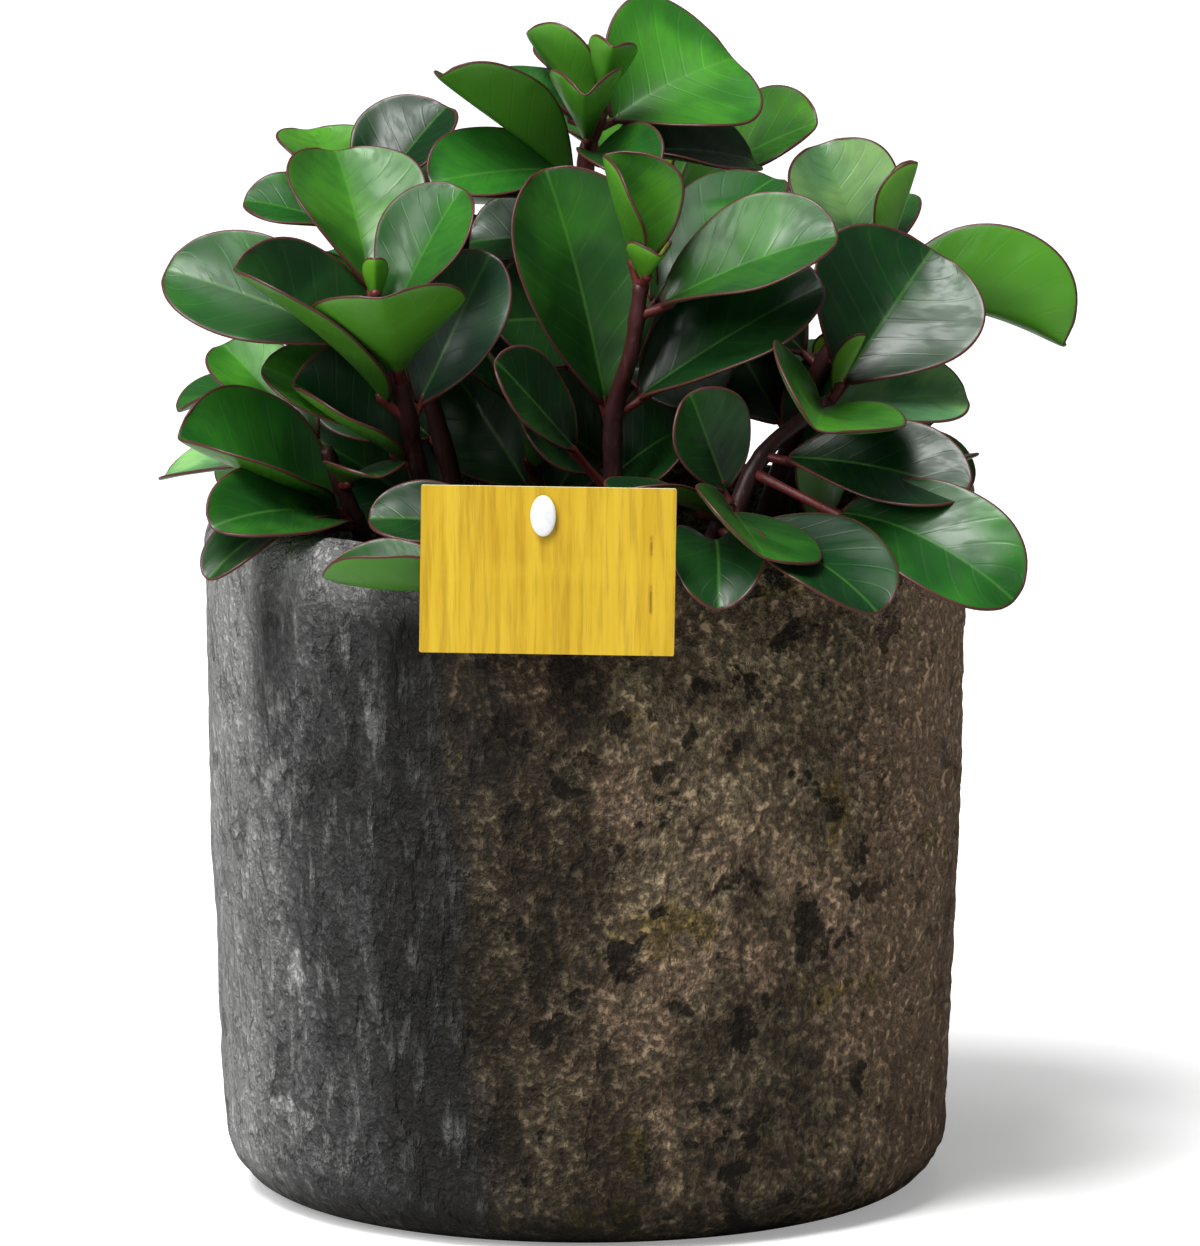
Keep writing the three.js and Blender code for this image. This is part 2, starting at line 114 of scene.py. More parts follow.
STEMS: dict[str, StemPlan] = {
    "stem_front_left": StemPlan(
        path=[(-42, -50, ROOT_HEIGHT), (-46, -51, 215), (-54, -50, 244), (-58, -60, 268), (-67, -66, 298)],
        leaves=[
            Leaf(1.00, -81, -26, 345, 50, 14, 20, 0, Tone.FRESH),
            Leaf(0.93, -39, -58, 336, 38, 10, 20, 34),
            Leaf(1.00, -67, -72, 315, 12, 40, 0, 0, Tone.YOUNG),
            Leaf(0.80, -64, -110, 307, 54, 14, -20, 10, Tone.FRESH),
            Leaf(0.68, -112, -84, 313, 48, 30, 20, -38, Tone.DARK),
            Leaf(0.88, -135, -50, 309, 42, 8, 20, -50),
            Leaf(0.50, -94, -66, 274, 52, 32, 10, -42, Tone.DARK),
            Leaf(0.66, -30, -56, 315, 34, 4, 10, 68, Tone.OLD),
            Leaf(0.55, -104, -56, 278, 34, 14, 20, -40, Tone.FRESH),
        ],
    ),
    "stem_top": StemPlan(
        path=[(8, -10, ROOT_HEIGHT), (8, -9, 220), (8, -8, 260), (5, -5, 310), (0, 0, 336), (5, -2, 356)],
        leaves=[
            Leaf(0.93, 49, 24, 370, 66, 6, 20, 40, Tone.FRESH),
            Leaf(0.96, -19, 4, 381, 32, 14, 10, 40, Tone.FRESH),
            Leaf(1.00, 9, -19, 378, 26, 44, 0, -20, Tone.FRESH),
            Leaf(0.86, 0, -37, 364, 38, 44, 0, 0, Tone.FRESH),
            Leaf(0.74, -47, -34, 370, 38, 26, 10, 16),
            Leaf(0.80, -50, -36, 335, 36, 12, 20, -35),
            Leaf(0.74, -36, -20, 330, 28, 12, 20, -20, Tone.DARK),
            Leaf(0.62, -38, -2, 312, 36, 10, 20, -35, Tone.DARK),
            Leaf(0.84, 20, -40, 336, 30, 20, 50, 20),
            Leaf(0.94, -40, 36, 362, 40, 10, 20, 0),
            Leaf(0.84, 56, 22, 336, 46, 10, 30, 25, Tone.DARK),
            Leaf(0.95, 0, 54, 372, 40, 10, 20, 0),
            Leaf(0.50, -30, -36, 290, 42, 10, 20, -60, Tone.DARK),
            Leaf(0.44, 48, -14, 276, 42, 10, 20, 60, Tone.DARK),
            Leaf(0.30, -22, -34, 262, 40, 10, 20, -65, Tone.DARK),
            Leaf(0.28, 36, -30, 256, 42, 10, 20, 60, Tone.DARK),
        ],
    ),
    "stem_centre": StemPlan(
        path=[(12, -38, ROOT_HEIGHT), (10, -42, 220), (9, -45, 259), (15, -52, 283), (18, -56, 305)],
        leaves=[
            Leaf(0.46, -13, -44, 341, 54, 16, 15, -64),
            Leaf(0.98, 6, -57, 347, 46, 50, 0, -50, Tone.FRESH),
            Leaf(1.00, 24, -72, 316, 22, 40, 0, 0, Tone.YOUNG),
            Leaf(0.88, 81, -70, 322, 46, 12, 20, 40),
            Leaf(0.86, 62, -18, 335, 40, 8, 30, 10),
            Leaf(0.52, 77, -53, 304, 54, 10, 20, 38, Tone.DARK),
            Leaf(0.34, -29, -80, 283, 30, 10, 10, -70, Tone.DARK, 0.34),
        ],
    ),
    "stem_right": StemPlan(
        path=[(44, -54, ROOT_HEIGHT), (46, -55, 212), (50, -55, 235), (60, -50, 252), (79, -42, 265)],
        leaves=[
            Leaf(1.00, 113, -18, 312, 62, 8, 10, 50, Tone.DARK),
            Leaf(0.97, 73, -112, 265, 57, 20, 10, -30, Tone.FRESH),
            Leaf(1.00, 90, -50, 288, 12, 40, 0, 0, Tone.YOUNG),
            Leaf(0.92, 124, -30, 265, 30, 10, 30, 45, Tone.PALE),
            Leaf(0.70, 122, -88, 241, 38, 8, 30, 35, Tone.DARK),
            Leaf(0.62, 136, -111, 210, 44, 8, 60, 35, Tone.DEEP, 0.34),
        ],
    ),
    "stem_back_left": StemPlan(
        path=[(-36, 16, ROOT_HEIGHT), (-40, 15, 215), (-50, 12, 255), (-61, 8, 292), (-75, 4, 321)],
        leaves=[
            Leaf(1.00, -92, 32, 346, 40, 8, 20, 0, Tone.FRESH),
            Leaf(0.98, -45, 18, 355, 44, 14, 10, 20, Tone.DARK),
            Leaf(0.94, -112, 6, 325, 30, 10, 20, -30),
            Leaf(1.00, -76, 6, 340, 12, 40, 0, 0, Tone.YOUNG),
            Leaf(0.90, -58, 60, 336, 40, 10, 30, 0),
            Leaf(0.80, -122, 12, 290, 38, 10, 30, -20, Tone.YOUNG),
            Leaf(0.85, -26, 34, 330, 38, 10, 30, 0),
            Leaf(0.70, -96, 66, 298, 40, 10, 40, 0),
            Leaf(0.42, -84, 22, 272, 48, 10, 20, -60, Tone.DARK),
            Leaf(0.22, -92, 20, 246, 44, 10, 20, -60, Tone.DARK),
        ],
    ),
    "stem_back_right": StemPlan(
        path=[(54, 20, ROOT_HEIGHT), (58, 18, 215), (68, 14, 245), (80, 12, 275), (97, 20, 300)],
        leaves=[
            Leaf(0.98, 77, 34, 341, 42, 12, 20, -30, Tone.PALE),
            Leaf(1.00, 109, 16, 337, 22, 44, 0, 10, Tone.YOUNG),
            Leaf(0.90, 158, 20, 276, 58, 35, 60, -45, Tone.FRESH),
            Leaf(0.92, 136, 62, 290, 40, 10, 30, 0),
            Leaf(0.95, 92, 74, 318, 42, 10, 30, 0),
            Leaf(0.72, 122, -8, 282, 36, 10, 30, 0),
            Leaf(0.70, 34, 36, 308, 44, 10, 30, -50, Tone.DARK),
            Leaf(0.50, 40, 40, 290, 46, 10, 20, -60, Tone.DARK),
            Leaf(0.42, 96, 4, 266, 46, 10, 20, 60, Tone.DARK),
        ],
    ),
    "stem_back": StemPlan(
        path=[(8, 52, ROOT_HEIGHT), (10, 54, 220), (16, 58, 260), (22, 62, 295), (26, 66, 320)],
        leaves=[
            Leaf(0.98, 77, 42, 347, 48, 10, 20, 35, Tone.FRESH),
            Leaf(1.00, 24, 72, 342, 12, 40, 0, 0, Tone.YOUNG),
            Leaf(0.97, 50, 108, 346, 44, 10, 20, 0, Tone.FRESH),
            Leaf(0.96, -14, 96, 350, 44, 10, 20, 0, Tone.FRESH),
            Leaf(0.88, 66, 96, 316, 42, 10, 30, 0),
            Leaf(0.86, 14, 128, 316, 42, 10, 30, 0),
            Leaf(0.84, -44, 86, 316, 40, 10, 30, 0),
            Leaf(0.70, 40, 118, 284, 42, 10, 40, 0),
            Leaf(0.45, -30, 66, 296, 50, 10, 20, -60, Tone.DARK),
            Leaf(0.42, 58, 78, 286, 50, 10, 20, 60, Tone.DARK),
            Leaf(0.32, -22, 76, 262, 46, 10, 20, -60, Tone.DARK),
        ],
    ),
    "stem_middle": StemPlan(
        path=[(-14, 22, ROOT_HEIGHT), (-15, 22, 215), (-16, 24, 245), (-14, 28, 280)],
        leaves=[
            Leaf(0.90, 26, 18, 318, 46, 10, 20, 60, Tone.DARK),
            Leaf(0.85, -54, 34, 312, 46, 10, 20, -55, Tone.DARK),
            Leaf(0.70, -52, -4, 296, 46, 10, 20, -60, Tone.DARK),
            Leaf(0.62, 34, 34, 290, 48, 10, 20, 60, Tone.DARK),
            Leaf(0.50, -34, -22, 282, 40, 10, 20, -60, Tone.DARK),
            Leaf(0.42, -42, 42, 262, 44, 10, 20, -60, Tone.DARK),
            Leaf(0.36, 20, 12, 270, 44, 10, 20, 60, Tone.DARK),
        ],
    ),
    "stem_low_left": StemPlan(
        path=[(-66, -30, ROOT_HEIGHT), (-70, -34, 212), (-76, -38, 230), (-84, -42, 250)],
        leaves=[
            Leaf(0.60, -131, -62, 256, 54, 30, 10, -34),
            Leaf(0.85, -138, -10, 236, 28, 10, 40, -20, Tone.PALE),
            Leaf(0.55, -119, -92, 231, 35, 10, 50, -35),
            Leaf(0.60, -120, -92, 214, 24, 10, 60, -10, Tone.DARK),
            Leaf(0.95, -119, -4, 279, 32, 10, 10, -20, Tone.FRESH),
            Leaf(0.80, -66, -84, 246, 28, 10, 20, 0, Tone.DARK),
        ],
    ),
    "stem_low_right": StemPlan(
        path=[(72, -40, ROOT_HEIGHT), (76, -42, 212), (84, -42, 226), (94, -42, 238)],
        leaves=[
            Leaf(1.00, 122, -14, 244, 34, 10, 30, 10, Tone.PALE),
            Leaf(0.95, 112, 6, 268, 38, 10, 20, 0, Tone.PALE),
            Leaf(1.00, 104, -50, 256, 14, 40, 0, 0, Tone.YOUNG),
            Leaf(0.40, 84, -30, 254, 38, 8, 10, -88, Tone.PALE),
        ],
    ),
    "stem_low_front": StemPlan(
        path=[(-12, -66, ROOT_HEIGHT), (-14, -74, 212), (-18, -92, 230), (-22, -114, 238), (-24, -131, 220)],
        leaves=[
            Leaf(1.00, -83, -117, 219, 34, 44, -30, -6),
            Leaf(0.50, -69, -94, 234, 28, 10, 20, -40, Tone.DARK),
        ],
    ),
    "stem_low_centre": StemPlan(
        path=[(34, -72, ROOT_HEIGHT), (36, -74, 212), (40, -77, 224), (46, -81, 237)],
        leaves=[
            Leaf(0.70, 42, -136, 211, 33, 10, 80, 0, Tone.DARK),
            Leaf(0.97, 56, -138, 228, 48, 6, 10, -28),
            Leaf(0.80, 92, -130, 209, 44, 8, 50, 10, Tone.DARK),
            Leaf(0.90, 8, -104, 244, 30, 10, 20, 0, Tone.DARK),
            Leaf(1.00, 33, -90, 274, 34, 8, 10, -84, Tone.DARK),
        ],
    ),
    "stem_low_back_left": StemPlan(
        path=[(-62, 46, ROOT_HEIGHT), (-65, 50, 212), (-70, 56, 235), (-76, 64, 258)],
        leaves=[
            Leaf(0.98, -122, 92, 276, 44, 10, 30, 0, Tone.FRESH),
            Leaf(0.86, -136, 48, 250, 40, 10, 50, 0),
            Leaf(0.80, -92, 118, 246, 42, 10, 50, 0),
            Leaf(0.60, -118, 104, 214, 40, 10, 70, 0, Tone.FRESH),
            Leaf(0.92, -50, 106, 284, 40, 10, 30, 0),
            Leaf(1.00, -80, 68, 278, 14, 40, 0, 0, Tone.YOUNG),
        ],
    ),
    "stem_low_back_right": StemPlan(
        path=[(60, 60, ROOT_HEIGHT), (63, 63, 212), (70, 66, 232), (80, 70, 254)],
        leaves=[
            Leaf(0.98, 128, 88, 276, 44, 10, 30, 0, Tone.FRESH),
            Leaf(0.84, 120, 54, 250, 40, 10, 50, 0),
            Leaf(0.82, 96, 122, 248, 42, 10, 50, 0, Tone.FRESH),
            Leaf(0.60, 128, 88, 214, 40, 10, 70, 0),
            Leaf(0.92, 60, 116, 262, 38, 10, 30, 0),
            Leaf(0.66, 124, 12, 227, 36, 10, 70, 0),
            Leaf(1.00, 84, 74, 274, 14, 40, 0, 0, Tone.YOUNG),
        ],
    ),
    "stem_low_back": StemPlan(
        path=[(-8, 84, ROOT_HEIGHT), (-9, 87, 212), (-12, 92, 232), (-16, 96, 252)],
        leaves=[
            Leaf(0.98, -30, 146, 270, 42, 10, 30, 0, Tone.FRESH),
            Leaf(0.84, -64, 132, 240, 40, 10, 50, 0),
            Leaf(0.82, 30, 138, 242, 40, 10, 50, 0, Tone.FRESH),
            Leaf(0.62, -14, 148, 214, 38, 10, 70, 0),
            Leaf(0.95, -60, 104, 258, 36, 10, 30, 0),
        ],
    ),
}

PICK_PATH: list[Point] = [
    (-13, -102, ROOT_HEIGHT),
    (-13, -102, 202),
    (-13, -102, 220),
    (-13, -105, 236),
    (-13, -114, 244.5),
    (-13, -127.5, 242.5),
    (-13, -137.5, 241.5),
    (-13, -139.5, 241.5),
]


def deselect_all() -> None:
    """Leaves nothing selected."""
    bpy.ops.object.select_all(action="DESELECT")


def choose(obj: Object) -> None:
    """Makes one object the only selected and the active one.

    Args:
        obj: the object to choose.
    """
    deselect_all()
    obj.select_set(True)
    bpy.context.view_layer.objects.active = obj


def new_primitive(name: str) -> Object:
    """Names the primitive that was just added.

    Args:
        name: the object's name, which its mesh shares.

    Returns:
        The primitive's object.
    """
    obj = bpy.context.active_object
    obj.name = name
    obj.data.name = name
    return obj


def new_object(name: str, data: bpy.types.ID) -> Object:
    """Makes an object from its data and puts it in the scene.

    Args:
        name: the object's name.
        data: its mesh, curve, light or camera.

    Returns:
        The object.
    """
    obj = bpy.data.objects.new(name, data)
    bpy.context.collection.objects.link(obj)
    return obj


def copy_of(original: Object, name: str) -> Object:
    """Copies an object together with its mesh.

    Args:
        original: the object that is modelled once.
        name: the copy's name.

    Returns:
        The copy.
    """
    return new_object(name, original.data.copy())


def join(parts: Sequence[Object], name: str) -> Object:
    """Joins objects into one, with its place in its mesh.

    Args:
        parts: the objects to join.
        name: the joined object's name.

    Returns:
        The joined object.
    """
    choose(parts[0])
    for part in parts:
        part.select_set(True)
    bpy.ops.object.join()
    bpy.ops.object.transform_apply(location=True, rotation=True, scale=True)
    return new_primitive(name)


def apply_modifier(obj: Object, kind: str, **settings: Any) -> None:
    """Adds a modifier with these settings and applies it.

    Args:
        obj: the object to change.
        kind: the modifier's type.
        settings: its properties by name.
    """
    choose(obj)
    modifier = obj.modifiers.new(kind.title(), kind)
    for key, value in settings.items():
        setattr(modifier, key, value)
    bpy.ops.object.modifier_apply(modifier=modifier.name)


def close_seams(obj: Object, distance: float) -> None:
    """Merges a mesh's doubles and turns its faces outwards.

    Args:
        obj: the object to mend.
        distance: how close doubles are, in metres.
    """
    choose(obj)
    bpy.ops.object.mode_set(mode="EDIT")
    bpy.ops.mesh.select_all(action="SELECT")
    bpy.ops.mesh.remove_doubles(threshold=distance)
    bpy.ops.mesh.normals_make_consistent(inside=False)
    bpy.ops.object.mode_set(mode="OBJECT")


def smooth(obj: Object) -> None:
    """Shades an object smooth all over."""
    choose(obj)
    bpy.ops.object.shade_smooth()


def spin_profile(name: str, profile: Sequence[SectionPoint], sides: int) -> Object:
    """Spins a profile round the Z axis.

    Args:
        name: the object's name.
        profile: radius and height of each point, in millimetres.
        sides: how many steps the spin takes.

    Returns:
        The closed object.
    """
    mesh = bpy.data.meshes.new(name)
    edges = [(i, i + 1) for i in range(len(profile) - 1)]
    mesh.from_pydata([(radius * MM, 0.0, height * MM) for radius, height in profile], edges, [])
    obj = new_object(name, mesh)
    choose(obj)
    bpy.ops.object.mode_set(mode="EDIT")
    bpy.ops.mesh.select_all(action="SELECT")
    bpy.ops.mesh.spin(steps=sides, angle=FULL_TURN, center=(0, 0, 0), axis=(0, 0, 1))
    bpy.ops.object.mode_set(mode="OBJECT")
    close_seams(obj, distance=1e-5)
    return obj


def tube(name: str, runs: Sequence[tuple[np.ndarray, np.ndarray]], rounding: int) -> Object:
    """Round rods along runs of points, as one mesh.

    Args:
        name: the object's name.
        runs: for each rod its points and the radius at each, in millimetres.
        rounding: the bevel resolution of the rods' sections.

    Returns:
        The mesh object.
    """
    curve = bpy.data.curves.new(name, "CURVE")
    curve.dimensions = "3D"
    curve.bevel_depth = MM
    curve.bevel_resolution = rounding
    curve.use_fill_caps = True
    for points, radii in runs:
        spline = curve.splines.new("POLY")
        spline.points.add(len(points) - 1)
        spline.points.foreach_set("co", np.c_[points * MM, np.ones(len(points))].ravel())
        spline.points.foreach_set("radius", radii)
    choose(new_object(name, curve))
    bpy.ops.object.convert(target="MESH")
    obj = new_primitive(name)
    close_seams(obj, distance=1e-6)
    smooth(obj)
    return obj


def coordinates(obj: Object) -> np.ndarray:
    """Reads an object's vertices.

    Args:
        obj: the object.

    Returns:
        A row of x, y and z for each vertex, in metres.
    """
    flat = np.empty(len(obj.data.vertices) * 3)
    obj.data.vertices.foreach_get("co", flat)
    return flat.reshape(-1, 3)


def mark(obj: Object, name: str, values: np.ndarray | float) -> None:
    """Writes one number per vertex, for a material to read.

    Args:
        obj: the object to mark.
        name: the attribute's name.
        values: one number for each vertex, or one for them all.
    """
    layer = obj.data.attributes.get(name) or obj.data.attributes.new(name, "FLOAT", "POINT")
    every = np.broadcast_to(values, len(obj.data.vertices))
    layer.data.foreach_set("value", every.astype(np.float32))


def weigh(obj: Object, name: str, weights: np.ndarray) -> None:
    """Makes a vertex group with these weights.

    Args:
        obj: the object that gets the group.
        name: the group's name.
        weights: one weight per vertex, from 0 to 1.
    """
    group = obj.vertex_groups.new(name=name)
    levels = np.round(weights * WEIGHT_LEVELS) / WEIGHT_LEVELS
    for level in np.unique(levels):
        group.add(np.flatnonzero(levels == level).tolist(), float(level), "REPLACE")


def finish_piece(obj: Object, material: Material, slot: str, *nodes: str) -> None:
    """Dresses a new piece and hides the CAD nodes that it stands for.

    Args:
        obj: the piece.
        material: its material.
        slot: the name of its material slot, which is not used.
        nodes: the CAD nodes that it stands for.
    """
    obj.data.materials.clear()
    obj.data.materials.append(material)
    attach(obj, BODY)
    if nodes:
        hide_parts(*nodes)
    LOG.info("%s: %d faces", obj.name, len(obj.data.polygons))


class Pattern(Enum):
    """The texture that a roughening follows, by Blender's name for it."""

    CLOUDS = "CLOUDS"
    CELLS = "VORONOI"


@dataclass(frozen=True)
class Roughening:
    """One layer of lumps or pits on a vertex group, in millimetres."""

    name: str
    pattern: Pattern
    size: float
    group: str
    height: float
    middle: float
    fineness: int = 2

    def apply(self, obj: Object) -> None:
        """Displaces the object's vertices.

        Args:
            obj: the object, which has the vertex group.
        """
        texture = bpy.data.textures.new(self.name, self.pattern.value)
        texture.noise_scale = self.size * MM
        if self.pattern is Pattern.CLOUDS:
            texture.noise_depth = self.fineness
        apply_modifier(
            obj,
            "DISPLACE",
            texture=texture,
            texture_coords="LOCAL",
            vertex_group=self.group,
            strength=self.height * MM,
            mid_level=self.middle,
        )


@dataclass(frozen=True)
class Grain:
    """One use of the shared grain: its repeats per metre, the noise levels it is cut at, and its layers."""

    scale: float
    low: float
    high: float
    detail: float = 4.0


class Shader:
    """A material's or a group's node tree, with short ways to add nodes."""

    def __init__(self, tree: bpy.types.NodeTree) -> None:
        """Wraps a node tree."""
        self.tree = tree

    def node(self, kind: str, inputs: dict[str | int, Any] | None = None, **settings: Any) -> bpy.types.Node:
        """Adds a node.

        Args:
            kind: the node's type without its ShaderNode prefix.
            inputs: values or sockets for its inputs, by name or number.
            settings: the node's own properties.

        Returns:
            The new node.
        """
        node = self.tree.nodes.new("ShaderNode" + kind)
        for key, value in settings.items():
            setattr(node, key, value)
        self.feed(node, inputs or {})
        return node

    def feed(self, node: bpy.types.Node, inputs: dict[str | int, Any]) -> None:
        """Links sockets to a node's inputs, or sets the inputs' own values.

        Args:
            node: the node to feed.
            inputs: a socket, a number, a vector or a colour for each input, by name or number.
        """
        for key, value in inputs.items():
            socket = node.inputs[key]
            if isinstance(value, Socket):
                self.tree.links.new(value, socket)
            elif socket.type == "RGBA":
                socket.default_value = (*value, 1.0)
            else:
                socket.default_value = value

    def surface(self, inputs: dict[str, Any]) -> None:
        """Feeds the material's Principled shader."""
        self.feed(self.tree.nodes["Principled BSDF"], inputs)

    def math(self, operation: str, first: Any, second: Any = 0.0) -> Socket:
        """One step of arithmetic."""
        return self.node("Math", {0: first, 1: second}, operation=operation).outputs[0]

    def times(self, first: Any, second: Any) -> Socket:
        """The product of two values."""
        return self.math("MULTIPLY", first, second)

    def level(self, value: Any, low: float, high: float, to_low: float = 0.0, to_high: float = 1.0) -> Socket:
        """A smooth step from low to high.

        Args:
            value: what is measured.
            low: where the step starts.
            high: where it ends.
            to_low: the result below the step.
            to_high: the result above it.

        Returns:
            The stepped value.
        """
        inputs = {0: value, 1: low, 2: high, 3: to_low, 4: to_high}
        return self.node("MapRange", inputs, interpolation_type="SMOOTHSTEP").outputs[0]

    def mix(self, share: Any, first: Any, second: Any, blend: str = "MIX") -> Socket:
        """Blends two colours.

        Args:
            share: how much of the second shows.
            first: the colour below.
            second: the colour above.
            blend: how they blend.

        Returns:
            The blended colour.
        """
        inputs = {0: share, 6: first, 7: second}
        return self.node("Mix", inputs, data_type="RGBA", blend_type=blend).outputs[2]

    def coat(self, below: Any, mask: Socket, strength: float, above: Any) -> Socket:
        """Lays a colour over another where a mask shows."""
        return self.mix(self.times(mask, strength), below, above)

    def darken(self, colour: Any, mask: Socket, strength: float, shade: Colour) -> Socket:
        """Multiplies a colour by a shade where a mask shows."""
        return self.mix(self.times(mask, strength), colour, shade, "MULTIPLY")

    def rest_of(self, mask: Socket) -> Socket:
        """Where a mask doesn't show."""
        return self.math("SUBTRACT", 1.0, mask)

    def attribute(self, name: str, output: str = "Fac") -> Socket:
        """The piece's own attribute of this name."""
        return self.node("Attribute", attribute_name=name).outputs[output]

    def apart(self, vector: Socket) -> Sequence[Socket]:
        """A vector's three parts."""
        return self.node("SeparateXYZ", {0: vector}).outputs

    def bump(self, height: Socket, strength: float, distance: float) -> Socket:
        """A normal that follows a height over a distance in metres."""
        return self.node("Bump", {"Height": height, "Strength": strength, "Distance": distance}).outputs[0]

    def stretched(self, scale: Point = (1.0, 1.0, 1.0), turn: Point = (0.0, 0.0, 0.0)) -> Socket:
        """Object coordinates, stretched for a pattern with a direction.

        Args:
            scale: the pattern's scale on each axis.
            turn: its turn about each axis, in degrees.

        Returns:
            The coordinates.
        """
        place = self.node("TexCoord").outputs["Object"]
        angles = tuple(math.radians(angle) for angle in turn)
        return self.node("Mapping", {"Vector": place, "Rotation": angles, "Scale": scale}).outputs[0]

    def grain(self, vector: Socket, grain: Grain) -> Socket:
        """The shared grain as a mask.

        Args:
            vector: where it is read.
            grain: its scale, levels and layers.

        Returns:
            The mask, from 0 to 1.
        """
        group = self.tree.nodes.new("ShaderNodeGroup")
        group.node_tree = grain_group()
        inputs = {"Vector": vector, "Scale": grain.scale, "Detail": grain.detail}
        self.feed(group, inputs | {"Low": grain.low, "High": grain.high})
        return group.outputs["Mask"]


def grain_group() -> bpy.types.NodeTree:
    """The grain that every rough finish shares: fractal noise cut between two levels.

    Returns:
        The node group, which is built once.
    """
    name = "grain"
    if name in bpy.data.node_groups:
        return bpy.data.node_groups[name]
    tree = bpy.data.node_groups.new(name, "ShaderNodeTree")
    tree.interface.new_socket("Vector", in_out="INPUT", socket_type="NodeSocketVector")
    for socket in ("Scale", "Detail", "Low", "High"):
        tree.interface.new_socket(socket, in_out="INPUT", socket_type="NodeSocketFloat")
    tree.interface.new_socket("Mask", in_out="OUTPUT", socket_type="NodeSocketFloat")
    entry = tree.nodes.new("NodeGroupInput").outputs
    shader = Shader(tree)
    place = {key: entry[key] for key in ("Vector", "Scale", "Detail")}
    noise = shader.node("TexNoise", place | {"Roughness": GRAIN_ROUGHNESS}).outputs[0]
    mask = shader.level(noise, entry["Low"], entry["High"])
    tree.links.new(mask, tree.nodes.new("NodeGroupOutput").inputs["Mask"])
    return tree


def start_material(name: str) -> tuple[Material, Shader]:
    """A new material with its Principled shader.

    Args:
        name: the material's name.

    Returns:
        The material and its nodes.
    """
    material = bpy.data.materials.new(name)
    material.use_nodes = True
    return material, Shader(material.node_tree)


@dataclass(frozen=True)
class LeafFinish:
    """Glossy fleshy leaf: streaky green above, yellow-green below, with a maroon margin and faint veins."""

    underside: Colour = (0.088, 0.280, 0.020)
    margin: Colour = (0.070, 0.022, 0.018)
    midrib: Colour = (0.110, 0.300, 0.050)
    lively: Colour = (2.600, 1.700, 1.200)
    shade: Colour = (0.300, 0.340, 0.400)
    margin_width: float = 0.7
    midrib_width: float = 0.9
    vein_rows: float = 7.0
    vein_sweep: float = 0.28
    streaks: Grain = Grain(15.0, 0.38, 0.68, 2.0)
    clouds: Grain = Grain(24.0, 0.42, 0.60, 2.0)
    gloss: tuple[float, float] = (0.30, 0.44)

    def veins(self, shader: Shader, swept: Socket, across: Socket) -> Socket:
        """The side veins, which fade towards the margin.

        Args:
            shader: the material's nodes.
            swept: the place along the leaf, swept back towards the margin.
            across: the distance from the midrib, from 0 to 1.

        Returns:
            The veins' mask.
        """
        wave = shader.math("SINE", shader.times(swept, self.vein_rows * FULL_TURN))
        return shader.times(shader.level(wave, 0.90, 1.0), shader.level(across, 1.0, 0.75))

    def make(self) -> Material:
        """Builds the leaf material.

        Returns:
            The material.
        """
        material, shader = start_material("leaf")
        tint = shader.attribute("tint", "Color")
        place = shader.stretched()
        unwrapped = shader.apart(shader.node("UVMap").outputs[0])
        across = shader.math("ABSOLUTE", shader.math("SUBTRACT", shader.times(unwrapped[0], 2.0), 1.0))
        along = unwrapped[1]
        swept = shader.math("SUBTRACT", along, shader.times(across, self.vein_sweep))
        veins = self.veins(shader, swept, across)
        brushed = shader.node("CombineXYZ", {0: swept, 1: shader.times(across, 0.16)}).outputs[0]
        brushed = shader.node("VectorMath", {0: brushed, 1: place}, operation="ADD").outputs[0]
        streaks = shader.grain(brushed, self.streaks)
        clouds = shader.grain(place, self.clouds)
        shadow = shader.times(shader.level(along, 0.80, 0.08), 0.85)

        upper = shader.coat(tint, clouds, 0.45, shader.mix(1.0, tint, self.lively, "MULTIPLY"))
        upper = shader.darken(upper, shader.rest_of(clouds), 0.45, self.shade)
        upper = shader.mix(shadow, upper, self.shade, "MULTIPLY")
        upper = shader.darken(upper, streaks, 0.30, self.shade)
        upper = shader.coat(upper, veins, 0.035, self.midrib)
        rib = shader.level(shader.attribute("reach"), self.midrib_width, 0.1)
        upper = shader.coat(upper, rib, 0.24, self.midrib)
        lower = shader.darken(shader.mix(0.30, self.underside, tint), shadow, 0.7, self.shade)
        blade = shader.mix(shader.level(shader.attribute("underside"), 0.35, 0.65), upper, lower)
        edge = shader.attribute("edge")
        rim = shader.level(edge, self.margin_width * 1.25, self.margin_width * 0.6)
        relief = shader.math("SUBTRACT", shader.times(clouds, 1.4), shader.times(veins, 0.09))
        shader.surface(
            {
                "Base Color": shader.mix(rim, blade, self.margin),
                "Roughness": shader.level(streaks, 0.0, 1.0, *self.gloss),
                "Normal": shader.bump(relief, 0.4, 0.0010),
                "Specular IOR Level": 0.32,
                "Subsurface Weight": 0.10,
                "Subsurface Radius": (0.4, 1.0, 0.2),
                "Subsurface Scale": 0.003,
            }
        )
        return material


@dataclass(frozen=True)
class StalkFinish:
    """Smooth dark maroon stems with lighter red leaf stalks."""

    stem: Colour = (0.026, 0.008, 0.009)
    stalk: Colour = (0.105, 0.018, 0.016)
    fleck: Colour = (0.070, 0.026, 0.018)
    flecks: Grain = Grain(420.0, 0.50, 0.68)

    def make(self) -> Material:
        """Builds the stalk material.

        Returns:
            The material.
        """
        material, shader = start_material("stalk")
        flecks = shader.grain(shader.stretched((1.0, 1.0, 0.25)), self.flecks)
        colour = shader.mix(shader.attribute("youth"), self.stem, self.stalk)
        shader.surface(
            {
                "Base Color": shader.coat(colour, flecks, 0.5, self.fleck),
                "Roughness": 0.42,
                "Normal": shader.bump(flecks, 0.3, 0.0004),
                "Specular IOR Level": 0.30,
            }
        )
        return material


